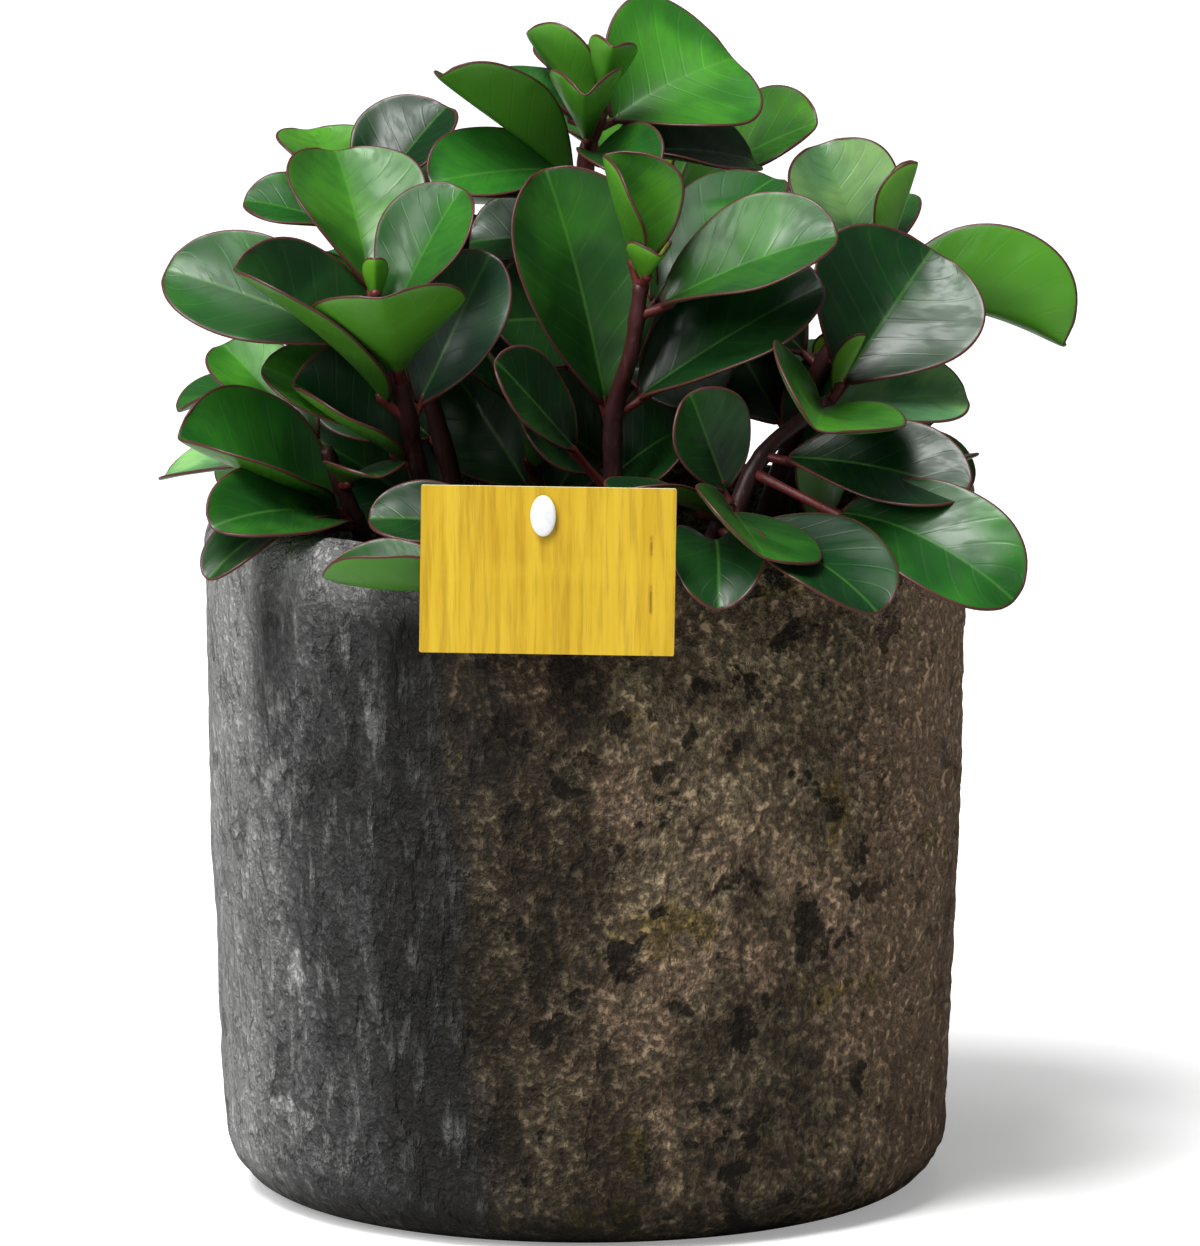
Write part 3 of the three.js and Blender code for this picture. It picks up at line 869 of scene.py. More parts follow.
@dataclass(frozen=True)
class ClayMasks:
    """The patterns that the pot's two sides share."""

    place: Socket
    slanted: Socket
    side: Socket
    height: Socket
    pits: Socket
    grains: Socket
    specks: Socket
    flakes: Socket
    ridges: Socket


@dataclass(frozen=True)
class CeramicFinish:
    """Rough fired clay: brown, spongy and grainy to the right, slate grey with slanted ridges to the left.

    Levels of side are metres to the right of the pot's axis, and levels of height are metres above its foot.
    """

    umber: Colour = (0.160, 0.114, 0.070)
    tan: Colour = (0.400, 0.310, 0.190)
    # Rusty red, also laid on the right edge as painted light.
    rust_and_painted_light: Colour = (0.520, 0.355, 0.230)
    grit: Colour = (0.430, 0.350, 0.245)
    # Near black: the dark grain, and painted shade in the pits, the hollows, the slanted shadows and towards
    # the middle, and the darker foot.
    cavity: Colour = (0.012, 0.009, 0.006)
    ochre: Colour = (0.260, 0.185, 0.050)
    # Near black: the dark grain, and painted shade across the middle of the pot and in the pits of the grey
    # side.
    dark_grain_and_painted_shade: Colour = (0.020, 0.019, 0.018)
    slate: Colour = (0.115, 0.113, 0.114)
    # Pale grey: worn patches, and painted light and highlights on the ridges, the lit left side and the rim.
    pale_wear_and_painted_light: Colour = (0.600, 0.600, 0.585)
    ridge_slant: float = 14.0
    flake_slant: float = -24.0
    border_waver: float = 0.040
    waver: Grain = Grain(22.0, 0.2, 0.8)
    pits: Grain = Grain(78.0, 0.42, 0.36)
    grains: Grain = Grain(350.0, 0.36, 0.60, 6.0)
    clumps: Grain = Grain(60.0, 0.38, 0.66, 5.0)
    rusting: Grain = Grain(20.0, 0.50, 0.70)
    stains: Grain = Grain(30.0, 0.60, 0.65)
    specks: Grain = Grain(330.0, 0.56, 0.72, 3.0)
    shadows: Grain = Grain(16.0, 0.52, 0.40, 3.0)
    flakes: Grain = Grain(70.0, 0.44, 0.54, 5.0)
    ridges: Grain = Grain(170.0, 0.50, 0.68)
    wear: Grain = Grain(42.0, 0.56, 0.64, 5.0)

    def masks(self, shader: Shader) -> ClayMasks:
        """Lays out the shared patterns.

        Args:
            shader: the material's nodes.

        Returns:
            The patterns.
        """
        place = shader.stretched()
        slanted = shader.stretched((1.0, 1.0, 0.28), (0.0, self.ridge_slant, 0.0))
        sliding = shader.stretched((1.0, 1.0, 0.5), (0.0, self.flake_slant, 0.0))
        x, _, z = shader.apart(place)
        waver = shader.times(shader.grain(slanted, self.waver), self.border_waver)
        return ClayMasks(
            place=place,
            slanted=slanted,
            side=shader.math("ADD", x, waver),
            height=z,
            pits=shader.grain(place, self.pits),
            grains=shader.grain(place, self.grains),
            specks=shader.grain(place, self.specks),
            flakes=shader.grain(sliding, self.flakes),
            ridges=shader.grain(slanted, self.ridges),
        )

    def brown_side(self, shader: Shader, clay: ClayMasks) -> Socket:
        """The colour to the right: clumped browns with light grit, painted shade in the pits and hollows and
        towards the middle, and a lighter, redder right edge that is partly rusty colour and partly painted
        light.

        Args:
            shader: the material's nodes.
            clay: the shared patterns.

        Returns:
            The colour.
        """
        rusty = shader.grain(clay.place, self.rusting)
        rusty = shader.math("MAXIMUM", rusty, shader.level(clay.side, 0.095, 0.128))
        colour = shader.mix(shader.grain(clay.place, self.clumps), self.umber, self.tan)
        colour = shader.coat(colour, rusty, 0.85, self.rust_and_painted_light)
        colour = shader.coat(colour, shader.grain(clay.place, self.stains), 0.8, self.ochre)
        colour = shader.mix(shader.level(clay.grains, 0.0, 1.0, 0.32, 1.0), self.cavity, colour)
        colour = shader.coat(colour, clay.specks, 0.45, self.grit)
        shadows = shader.grain(clay.slanted, self.shadows)
        shadows = shader.math("MAXIMUM", shadows, shader.level(clay.side, 0.066, 0.020))
        colour = shader.coat(colour, shadows, 0.62, self.cavity)
        # Painted shade in the pits.
        colour = shader.coat(colour, clay.pits, 0.85, self.cavity)
        # Painted light: a lighter, redder right edge, partly rusty colour and partly making up for the shade
        # the lamps leave on that side.
        colour = shader.coat(colour, shader.level(clay.side, 0.104, 0.134), 0.32, self.rust_and_painted_light)
        # Painted shade in the hollows between the flakes, stronger towards the darker middle.
        hollows = shader.times(shader.rest_of(clay.flakes), shader.level(clay.side, 0.080, 0.010))
        return shader.coat(colour, hollows, 0.62, self.cavity)

    def grey_side(self, shader: Shader, clay: ClayMasks) -> Socket:
        """The colour to the left: slate, darker towards the middle by painted shade, with pale ridge crests
        that are partly painted highlight, worn patches, painted light over the lit left side and a painted
        highlight along the rim.

        Args:
            shader: the material's nodes.
            clay: the shared patterns.

        Returns:
            The colour.
        """
        # Painted shade: darker towards the middle of the pot, where the light from the left falls off, and
        # slate further left.
        colour = shader.mix(shader.level(clay.side, -0.036, -0.070), self.dark_grain_and_painted_shade, self.slate)
        colour = shader.coat(colour, shader.rest_of(clay.grains), 0.45, self.dark_grain_and_painted_shade)
        # Pale streaks on the ridge crests, partly their own colour and partly painted highlight, stronger
        # towards the lit left.
        crests = shader.times(clay.ridges, shader.level(clay.side, -0.020, -0.075, 0.08, 0.36))
        colour = shader.mix(crests, colour, self.pale_wear_and_painted_light)
        # Worn patches, and painted light: the far left made paler all over, where the light from the left
        # falls on it.
        worn = shader.times(shader.grain(clay.place, self.wear), shader.level(clay.side, -0.055, -0.075))
        worn = shader.math("MAXIMUM", worn, shader.level(clay.side, -0.068, -0.102))
        colour = shader.coat(colour, worn, 0.56, self.pale_wear_and_painted_light)
        # Painted shade in the pits.
        colour = shader.coat(colour, clay.pits, 0.45, self.dark_grain_and_painted_shade)
        # Painted highlight along the top of the rim.
        return shader.coat(colour, shader.level(clay.height, 0.200, 0.218), 0.35, self.pale_wear_and_painted_light)

    def relief(self, shader: Shader, clay: ClayMasks, left: Socket) -> Socket:
        """The fine relief: grains, specks and pits, ridges to the left, and flakes all over.

        Args:
            shader: the material's nodes.
            clay: the shared patterns.
            left: where the grey side shows.

        Returns:
            The height.
        """
        rough = shader.math("ADD", clay.grains, shader.times(clay.specks, 0.7))
        rough = shader.math("SUBTRACT", rough, shader.times(clay.pits, 1.4))
        rough = shader.times(rough, shader.rest_of(shader.times(left, 0.6)))
        rough = shader.math("ADD", rough, shader.times(clay.ridges, left))
        return shader.math("ADD", rough, shader.times(clay.flakes, 1.2))

    def make(self) -> Material:
        """Builds the ceramic material.

        Returns:
            The material.
        """
        material, shader = start_material("ceramic")
        clay = self.masks(shader)
        left = shader.level(clay.side, -0.006, -0.030)
        colour = shader.mix(left, self.brown_side(shader, clay), self.grey_side(shader, clay))
        # Darker towards the foot.
        darker_foot = shader.level(clay.height, 0.016, 0.006)
        shader.surface(
            {
                "Base Color": shader.coat(colour, darker_foot, 0.60, self.cavity),
                "Roughness": shader.level(left, 0.0, 1.0, 0.90, 0.62),
                "Normal": shader.bump(self.relief(shader, clay, left), 1.0, 0.0040),
                "Specular IOR Level": 0.15,
            }
        )
        return material


@dataclass(frozen=True)
class SoilFinish:
    """Crumbly dark potting mix with lighter bark."""

    peat: Colour = (0.016, 0.010, 0.007)
    bark: Colour = (0.075, 0.040, 0.022)
    crumbs: Grain = Grain(260.0, 0.42, 0.66, 5.0)
    fibres: Grain = Grain(160.0, 0.58, 0.70)

    def make(self) -> Material:
        """Builds the soil material.

        Returns:
            The material.
        """
        material, shader = start_material("potting_mix")
        crumbs = shader.grain(shader.stretched(), self.crumbs)
        fibres = shader.grain(shader.stretched((1.0, 3.5, 1.0), (0.0, 0.0, 35.0)), self.fibres)
        colour = shader.mix(crumbs, self.peat, self.bark)
        shader.surface(
            {
                "Base Color": shader.coat(colour, fibres, 0.5, self.bark),
                "Roughness": 0.95,
                "Normal": shader.bump(crumbs, 1.0, 0.002),
            }
        )
        return material


@dataclass(frozen=True)
class CardFinish:
    """Satin card with a yellow wood grain, broken dark marks near one side and a cream cut edge."""

    board: Colour = (0.540, 0.330, 0.012)
    light: Colour = (0.670, 0.450, 0.030)
    streak: Colour = (0.200, 0.095, 0.008)
    cream: Colour = (0.800, 0.740, 0.500)
    boards: Grain = Grain(130.0, 0.32, 0.68)
    fibres: Grain = Grain(620.0, 0.40, 0.70, 3.0)
    scuffs: Grain = Grain(60.0, 0.55, 0.72, 5.0)
    breaks: Grain = Grain(70.0, 0.50, 0.58)
    marks_inset: float = 0.095
    marks_reach: float = 0.0010
    marks_waver: float = 0.0012

    def make(self, low: Vector, high: Vector) -> Material:
        """Builds the card material.

        Args:
            low: the card's lowest corner.
            high: its highest corner.

        Returns:
            The material.
        """
        material, shader = start_material("wood_print")
        upright = shader.stretched((1.0, 1.0, 0.06))
        crosswise = shader.stretched((0.15, 1.0, 1.0))
        boards = shader.grain(upright, self.boards)
        fibres = shader.grain(upright, self.fibres)
        across = shader.apart(shader.node("TexCoord").outputs["Object"])[0]
        across = shader.math("ADD", across, shader.times(boards, self.marks_waver))
        line = high.x - self.marks_inset * (high.x - low.x)
        away = shader.math("ABSOLUTE", shader.math("SUBTRACT", across, line))
        marks = shader.level(away, self.marks_reach, self.marks_reach / 10)
        marks = shader.times(marks, shader.grain(crosswise, self.breaks))
        facing = shader.apart(shader.node("NewGeometry").outputs["Normal"])[1]
        cut = shader.level(shader.math("ABSOLUTE", facing), 0.7, 0.4)
        colour = shader.mix(boards, self.board, self.light)
        colour = shader.coat(colour, fibres, 0.32, self.streak)
        colour = shader.coat(colour, shader.grain(crosswise, self.scuffs), 0.25, self.light)
        colour = shader.coat(colour, marks, 0.85, self.streak)
        shader.surface(
            {
                "Base Color": shader.mix(cut, colour, self.cream),
                "Roughness": 0.55,
                "Normal": shader.bump(fibres, 0.15, 0.0002),
                "Specular IOR Level": 0.25,
            }
        )
        return material


@dataclass(frozen=True)
class PlasticFinish:
    """Smooth white moulded plastic."""

    white: Colour = (0.86, 0.87, 0.88)
    worn: Colour = (0.74, 0.75, 0.76)
    wear: Grain = Grain(300.0, 0.40, 0.70)

    def make(self) -> Material:
        """Builds the plastic material.

        Returns:
            The material.
        """
        material, shader = start_material("white_plastic")
        wear = shader.grain(shader.stretched(), self.wear)
        shader.surface(
            {
                "Base Color": shader.mix(wear, self.white, self.worn),
                "Roughness": shader.level(wear, 0.0, 1.0, 0.28, 0.42),
            }
        )
        return material


@dataclass
class BladeGrid:
    """The flat unit blade that every leaf is copied from, and where its vertices lie on a blade."""

    rows: int = 14
    columns: int = 12
    last_row: float = 0.985
    base_power: float = 0.8
    tip_power: float = 0.52
    widest: float = 0.6
    middle_thickness: float = 0.62
    edge_thickness: float = 0.36
    edge_rise: float = 4.0
    tip_rise: float = 6.0
    base_fall: float = 8.0
    share: np.ndarray = field(init=False)
    across: np.ndarray = field(init=False)
    blade: Object = field(init=False)

    def build(self) -> None:
        """Adds the grid, reads its vertices and weighs its thickness."""
        deselect_all()
        bpy.ops.mesh.primitive_grid_add(x_subdivisions=self.columns, y_subdivisions=self.rows, size=2)
        self.blade = new_primitive("blade")
        flat = coordinates(self.blade)
        self.across = flat[:, 0]
        self.share = (flat[:, 1] + 1) / 2
        from_edge = 1 - np.abs(self.across)
        inner = np.clip(from_edge * self.edge_rise, 0, 1) * np.clip((1 - self.share) * self.tip_rise, 0, 1)
        thickness = self.edge_thickness + (self.middle_thickness - self.edge_thickness) * inner
        base = np.clip(1 - self.share * self.base_fall, 0, 1) * np.sqrt(from_edge)
        weigh(self.blade, "thickness", thickness + (1 - thickness) * base)

    def outline(self, share: np.ndarray) -> np.ndarray:
        """Half a blade's width along its length.

        Args:
            share: places along the length, from 0 at the base to 1 at the tip.

        Returns:
            The half widths, as shares of the widest.
        """
        from_base = np.clip(share / self.widest, 0, None)
        from_tip = np.clip((1 - share) / (1 - self.widest), 0, None)
        return from_base**self.base_power * from_tip**self.tip_power

    def remove(self) -> None:
        """Deletes the unit blade once every leaf is made."""
        bpy.data.objects.remove(self.blade)


def turned(vector: np.ndarray, axis: np.ndarray, angle: float) -> np.ndarray:
    """A vector turned about an axis by an angle in radians."""
    return np.array(Matrix.Rotation(angle, 3, Vector(axis)) @ Vector(vector))


class StemPath:
    """A smooth curve through a stem's points, as the CAD source draws it."""

    def __init__(self, points: Sequence[Point]) -> None:
        """Takes the points, and one more beyond each end.

        Args:
            points: what the curve passes through, in millimetres.
        """
        inner = np.array(points, float)
        before, after = 2 * inner[0] - inner[1], 2 * inner[-1] - inner[-2]
        self.points = np.vstack([before, inner, after])
        self.spans = len(points) - 1

    def at(self, share: float) -> np.ndarray:
        """The point at a share of the curve.

        Args:
            share: 0 at the root, 1 at the tip.

        Returns:
            The point.
        """
        span = min(int(share * self.spans), self.spans - 1)
        t = share * self.spans - span
        p0, p1, p2, p3 = self.points[span : span + 4]
        t0, t1 = (p2 - p0) / 2, (p3 - p1) / 2
        return p1 + t0 * t + (3 * (p2 - p1) - 2 * t0 - t1) * t**2 + (2 * (p1 - p2) + t0 + t1) * t**3

    def along(self, count: int) -> np.ndarray:
        """Evenly shared points from the root to the tip, one in each row."""
        return np.array([self.at(share) for share in np.linspace(0, 1, count)])


@dataclass(frozen=True)
class BladePlaces:
    """Where the unit blade's vertices lie on one leaf: shares of its length and of its half width."""

    along: np.ndarray
    across: np.ndarray
    half_width: np.ndarray

    @property
    def reach(self) -> np.ndarray:
        """The distance from the midrib, from 0 to 1 at the margin."""
        return np.abs(self.across)


@dataclass
class LeafyStem:
    """One stem with its stalks and blades."""

    name: str
    plan: StemPlan
    cup: float = 14.0
    least_bend: float = 0.1
    base_half_width: float = 1.7
    blade_thickness: float = 2.3
    column_places: tuple[float, ...] = (0.0, 0.09, 0.35, 0.62, 0.84)
    margin_column: float = 1.3
    least_margin_place: float = 0.9
    wave: float = 0.018
    wave_rate: tuple[float, float] = (7, 11)
    wave_lag: float = 1.4
    sway: float = 0.02
    groove: float = 0.3
    softness: float = 0.3
    channel: float = 24.0
    slope_samples: int = 101
    brightness: tuple[float, float] = (0.85, 1.18)
    yellowness: tuple[float, float] = (0.85, 1.25)
    stem_points: int = 40
    stem_radius: float = 3.4
    stem_taper: float = 0.32
    taper_power: float = 1.5
    knot_length: float = 0.025
    knot_swelling: float = 0.35
    most_swelling: float = 1.2
    young_from: float = 250.0
    young_span: float = 160.0
    most_youth: float = 0.5
    stalk_points: int = 9
    stalk_radius: float = 1.55
    stalk_flare: float = 0.35
    stalk_tip_radius: float = 0.9
    stalk_inside: float = 5.0
    stalk_sag: float = 0.6

    def lay_out(self, leaf: Leaf, path: StemPath) -> tuple[np.ndarray, ...]:
        """Where a leaf grows.

        Args:
            leaf: the leaf.
            path: its stem's curve.

        Returns:
            The stalk's root, the blade's base and tip, and the leaf's along, side and up directions.
        """
        root = path.at(leaf.place)
        tip = np.array((leaf.x, leaf.y, leaf.z), float)
        along = (tip - root) / np.linalg.norm(tip - root)
        up = np.array((0.0, 0.0, 1.0)) - along * along[2]
        up = turned(up / np.linalg.norm(up), along, math.radians(leaf.roll))
        base = root + (tip - root) * leaf.stalk_share
        return root, base, tip, along, np.cross(along, up), up

    def spread(self, grid: BladeGrid, leaf: Leaf) -> BladePlaces:
        """Spreads the unit blade's rows and columns over a leaf, with one column close to the margin.

        Args:
            grid: the unit blade.
            leaf: the leaf.

        Returns:
            The vertices' places.
        """
        rows = grid.last_row * (0.5 * np.sin(grid.share * math.pi / 2) + 0.5 * grid.share)
        half = np.maximum(leaf.width / 2 * grid.outline(rows), self.base_half_width)
        steps = np.linspace(0, 1, len(self.column_places) + 2)
        column = np.abs(grid.across)
        inner = np.interp(column, steps[:-2], self.column_places)
        near_edge = np.maximum(1 - self.margin_column / half, self.least_margin_place)
        slack = 0.01
        outer = np.where(column > steps[-2] + slack, 1.0, near_edge)
        reach = np.where(column > steps[-3] + slack, outer, inner)
        tip = (1 - grid.last_row) * (1 - reach ** (1 / grid.tip_power)) * grid.share**4
        return BladePlaces(rows + tip, np.sign(grid.across) * reach, half)

    def bend(self, leaf: Leaf, places: BladePlaces, path: StemPath, chance: random.Random) -> np.ndarray:
        """Bends the spread blade in space: along an arc, folded and cupped, with a wavy margin.

        Args:
            leaf: the leaf.
            places: the vertices' places on it.
            path: its stem's curve.
            chance: the seeded source of small differences.

        Returns:
            The vertices, in millimetres.
        """
        _, base, tip, along, side, up = self.lay_out(leaf, path)
        share, reach, half = places.along, places.reach, places.half_width
        turn = math.radians(leaf.bend or self.least_bend)
        radius = np.linalg.norm(tip - base) / (2 * math.sin(turn / 2))
        angle = (turn * (0.5 - share))[:, None]
        forward = along * radius * (math.sin(turn / 2) - np.sin(angle))
        centre = base + forward + up * radius * (np.cos(angle) - math.cos(turn / 2))
        above = up * np.cos(angle) - along * np.sin(angle)
        soft = np.hypot(reach, self.softness) - self.softness
        soft = soft / (math.hypot(1, self.softness) - self.softness)
        tilt = math.radians(leaf.fold) + math.radians(self.cup) * reach / 2
        tilt = tilt + math.radians(self.channel) * (1 - share) ** 3
        middle = np.sin(share * math.pi)
        phase = chance.uniform(0, FULL_TURN)
        waves = share * chance.uniform(*self.wave_rate) + phase + self.wave_lag * np.sign(places.across)
        ripple = self.wave * leaf.width * reach**3 * np.sin(waves) * middle
        lift = half * soft * np.sin(tilt) + ripple - self.groove * (reach < 0.05) * middle
        drift = chance.uniform(-self.sway, self.sway) * leaf.width * middle
        return centre + side * (half * places.across * np.cos(tilt) + drift)[:, None] + above * lift[:, None]

    def shape_blade(self, grid: BladeGrid, leaf: Leaf, path: StemPath, chance: random.Random) -> Object:
        """Copies the unit blade, bends the copy into a leaf and marks what its material reads.

        Args:
            grid: the unit blade.
            leaf: the leaf.
            path: its stem's curve.
            chance: the seeded source of small differences.

        Returns:
            The blade's object.
        """
        places = self.spread(grid, leaf)
        points = self.bend(leaf, places, path, chance)
        blade = copy_of(grid.blade, f"{self.name}_blade")
        blade.data.vertices.foreach_set("co", (points * MM).ravel())

        _, base, tip, *_ = self.lay_out(leaf, path)
        samples = np.linspace(0, 1, self.slope_samples)
        step = np.linalg.norm(tip - base) / (self.slope_samples - 1)
        slope = np.gradient(leaf.width / 2 * grid.outline(samples), step)
        steep = np.interp(places.along, samples, slope)
        inside = leaf.width / 2 * grid.outline(places.along) - places.half_width * places.reach
        edge = np.where(places.reach > 0.99, 0, np.maximum(inside, 0) / np.hypot(1, steep))
        mark(blade, "edge", edge)
        mark(blade, "reach", places.half_width * places.reach)
        self.tint(blade, leaf, chance)
        self.unwrap(blade, places)
        return blade

    def tint(self, blade: Object, leaf: Leaf, chance: random.Random) -> None:
        """Writes the leaf's own green, a little different on each.

        Args:
            blade: the blade's object.
            leaf: the leaf.
            chance: the seeded source of small differences.
        """
        bright = chance.uniform(*self.brightness)
        yellow = chance.uniform(*self.yellowness)
        red, green, blue = leaf.tone.value
        colour = (red * bright * yellow, green * bright, blue * bright, 1.0)
        layer = blade.data.color_attributes.new("tint", "FLOAT_COLOR", "POINT")
        layer.data.foreach_set("color", colour * len(blade.data.vertices))

    def unwrap(self, blade: Object, places: BladePlaces) -> None:
        """Sets the blade's UV map to its place across and along the leaf.

        Args:
            blade: the blade's object.
            places: the vertices' places on the leaf.
        """
        corners = np.empty(len(blade.data.loops), np.int32)
        blade.data.loops.foreach_get("vertex_index", corners)
        flat = np.c_[(places.across[corners] + 1) / 2, places.along[corners]]
        blade.data.uv_layers.active.data.foreach_set("uv", flat.ravel())

    def build_blades(self, grid: BladeGrid, chance: random.Random) -> Object:
        """Makes all of the stem's blades as one piece.

        Args:
            grid: the unit blade.
            chance: the seeded source of small differences.

        Returns:
            The piece.
        """
        path = StemPath(self.plan.path)
        blades = [self.shape_blade(grid, leaf, path, chance) for leaf in self.plan.leaves]
        piece = join(blades, f"{self.name}_leaves")
        tops = len(piece.data.vertices)
        apply_modifier(
            piece,
            "SOLIDIFY",
            thickness=self.blade_thickness * MM,
            offset=0.0,
            vertex_group="thickness",
            use_even_offset=False,
        )
        mark(piece, "underside", np.arange(len(piece.data.vertices)) >= tops)
        apply_modifier(piece, "SUBSURF", levels=1, render_levels=1)
        smooth(piece)
        return piece

    def build_stem(self, path: StemPath) -> Object:
        """Makes the bare stem, swollen where each stalk leaves it.

        Args:
            path: the stem's curve.

        Returns:
            The stem's object.
        """
        shares = np.linspace(0, 1, self.stem_points)
        swell = sum(np.exp(-(((shares - leaf.place) / self.knot_length) ** 2)) for leaf in self.plan.leaves)
        radii = self.stem_radius * (1 - self.stem_taper * shares**self.taper_power)
        radii = radii + self.knot_swelling * np.minimum(swell, self.most_swelling)
        stem = tube(f"{self.name}_stem", [(path.along(self.stem_points), radii)], rounding=3)
        height = coordinates(stem)[:, 2] / MM
        mark(stem, "youth", np.clip((height - self.young_from) / self.young_span, 0, self.most_youth))
        return stem

    def build_stalks(self) -> Object:
        """Makes the stem and its leaf stalks as one piece.

        Returns:
            The piece.
        """
        path = StemPath(self.plan.path)
        stem = self.build_stem(path)
        share = np.linspace(0, 1, self.stalk_points)
        runs = []
        for leaf in self.plan.leaves:
            root, base, _, along, _, up = self.lay_out(leaf, path)
            inside = base + along * self.stalk_inside
            straight = root + (inside - root) * share[:, None]
            sag = up * -self.stalk_sag * np.sin(share * math.pi)[:, None]
            radii = self.stalk_radius * (1 + self.stalk_flare * (2 * share - 1) ** 2)
            radii[-1] = self.stalk_tip_radius
            runs.append((straight + sag, radii))
        stalks = tube(f"{self.name}_petioles", runs, rounding=2)
        mark(stalks, "youth", 1.0)
        return join([stem, stalks], f"{self.name}_stalks")

    def build(self, grid: BladeGrid, chance: random.Random, leaf: Material, stalk: Material) -> None:
        """Builds and dresses the stem's two pieces.

        Args:
            grid: the unit blade.
            chance: the seeded source of small differences.
            leaf: the leaf material.
            stalk: the stalk material.
        """
        finish_piece(self.build_blades(grid, chance), leaf, "leaf", self.name)
        finish_piece(self.build_stalks(), stalk, "stem", self.name)


@dataclass
class Pot:
    """The tapered cylinder of rough ceramic, open at the top."""

    height: float = 226.0
    foot_radius: float = 119.6
    middle_radius: float = 123.2
    middle_height: float = 110.0
    rim_radius: float = 125.0
    full_width_height: float = 193.0
    foot_rounding: float = 23.0
    shoulder_rounding: float = 11.0
    lip_rounding: float = 2.5
    wall: float = 14.0
    floor: float = 16.0
    step: float = 1.9
    sides: int = 440
    foot_rings: int = 8
    inside_rings: int = 14
    floor_rings: int = 6
    lip_inset: float = 0.5
    lip_fade: float = 2.0
    foot_fade: float = 6.0
    calm_left: float = -75.0
    calm_fade: float = 30.0
    calm_share: float = 0.35
    surface: tuple[Roughening, ...] = (
        Roughening("broad", Pattern.CLOUDS, 55, "outside", 1.6, 0.55),
        Roughening("lumps", Pattern.CLOUDS, 16, "outside", 1.3, 0.55, 4),
        Roughening("crust", Pattern.CLOUDS, 6, "sponge", 1.5, 0.60, 3),
        Roughening("holes", Pattern.CELLS, 10, "sponge", 0.9, 0.60),
    )

    def arc(self, radius: float, height: float, size: float, start: float, end: float) -> list[SectionPoint]:
        """Points of a rounding.

        Args:
            radius: the centre's distance from the axis.
            height: the centre's height.
            size: the rounding's radius.
            start: its first angle in degrees.
            end: its last angle.

        Returns:
            The points, radius and height.
        """
        count = max(4, round(size * math.radians(end - start) / self.step))
        angles = np.radians(np.linspace(start, end, count + 1))
        return [(radius + size * math.cos(angle), height + size * math.sin(angle)) for angle in angles]

    def wall_line(self, *corners: SectionPoint) -> list[SectionPoint]:
        """Evenly spaced points on a line through corners, without its two ends.

        Args:
            corners: radius and height of each corner.

        Returns:
            The points between the ends.
        """
        line: list[SectionPoint] = []
        for (r0, z0), (r1, z1) in zip(corners, corners[1:]):
            count = max(1, round(math.hypot(r1 - r0, z1 - z0) / self.step))
            line += [(r0 + (r1 - r0) * i / count, z0 + (z1 - z0) * i / count) for i in range(count)]
        return line[1:]

    def profile(self) -> list[SectionPoint]:
        """The section from the foot's centre, up the outside and down the inside.

        Returns:
            The points, radius and height.
        """
        inner = self.rim_radius - self.wall
        foot_edge = self.foot_radius - self.foot_rounding
        shoulder = self.rim_radius - self.shoulder_rounding
        shoulder_height = self.height - self.shoulder_rounding
        lip_height = self.height - self.lip_rounding
        foot = [(radius, 0.0) for radius in np.linspace(0, foot_edge, self.foot_rings)[:-1]]
        rounding = self.arc(foot_edge, self.foot_rounding, self.foot_rounding, -90, 0)
        outside = self.wall_line(
            (self.foot_radius, self.foot_rounding),
            (self.middle_radius, self.middle_height),
            (self.rim_radius, self.full_width_height),
            (self.rim_radius, shoulder_height),
        )
        rim = self.arc(shoulder, shoulder_height, self.shoulder_rounding, 0, 90)
        lip = self.arc(inner + self.lip_rounding, lip_height, self.lip_rounding, 90, 180)
        inside = [(inner, height) for height in np.linspace(lip_height, self.floor, self.inside_rings)[1:]]
        bottom = [(radius, self.floor) for radius in np.linspace(inner, 0, self.floor_rings)[1:]]
        return foot + rounding + outside + rim + lip[1:] + inside + bottom

    def roughen(self, obj: Object) -> None:
        """Gives the outside and the rim their lumps and pits, calmer to the left.

        Args:
            obj: the spun pot.
        """
        at = coordinates(obj) / MM
        inner = self.rim_radius - self.wall
        beyond = np.hypot(at[:, 0], at[:, 1]) - inner - self.lip_inset
        outside = np.clip(beyond / self.lip_fade, 0, 1) * np.clip(at[:, 2] / self.foot_fade, 0, 1)
        right = np.clip((at[:, 0] - self.calm_left) / self.calm_fade, 0, 1)
        weigh(obj, "outside", outside)
        weigh(obj, "sponge", outside * (self.calm_share + (1 - self.calm_share) * right))
        for layer in self.surface:
            layer.apply(obj)

    def build(self, material: Material) -> None:
        """Spins, roughens and dresses the pot.

        Args:
            material: the ceramic.
        """
        obj = spin_profile("rough_pot", self.profile(), self.sides)
        self.roughen(obj)
        smooth(obj)
        finish_piece(obj, material, "pot", "pot")


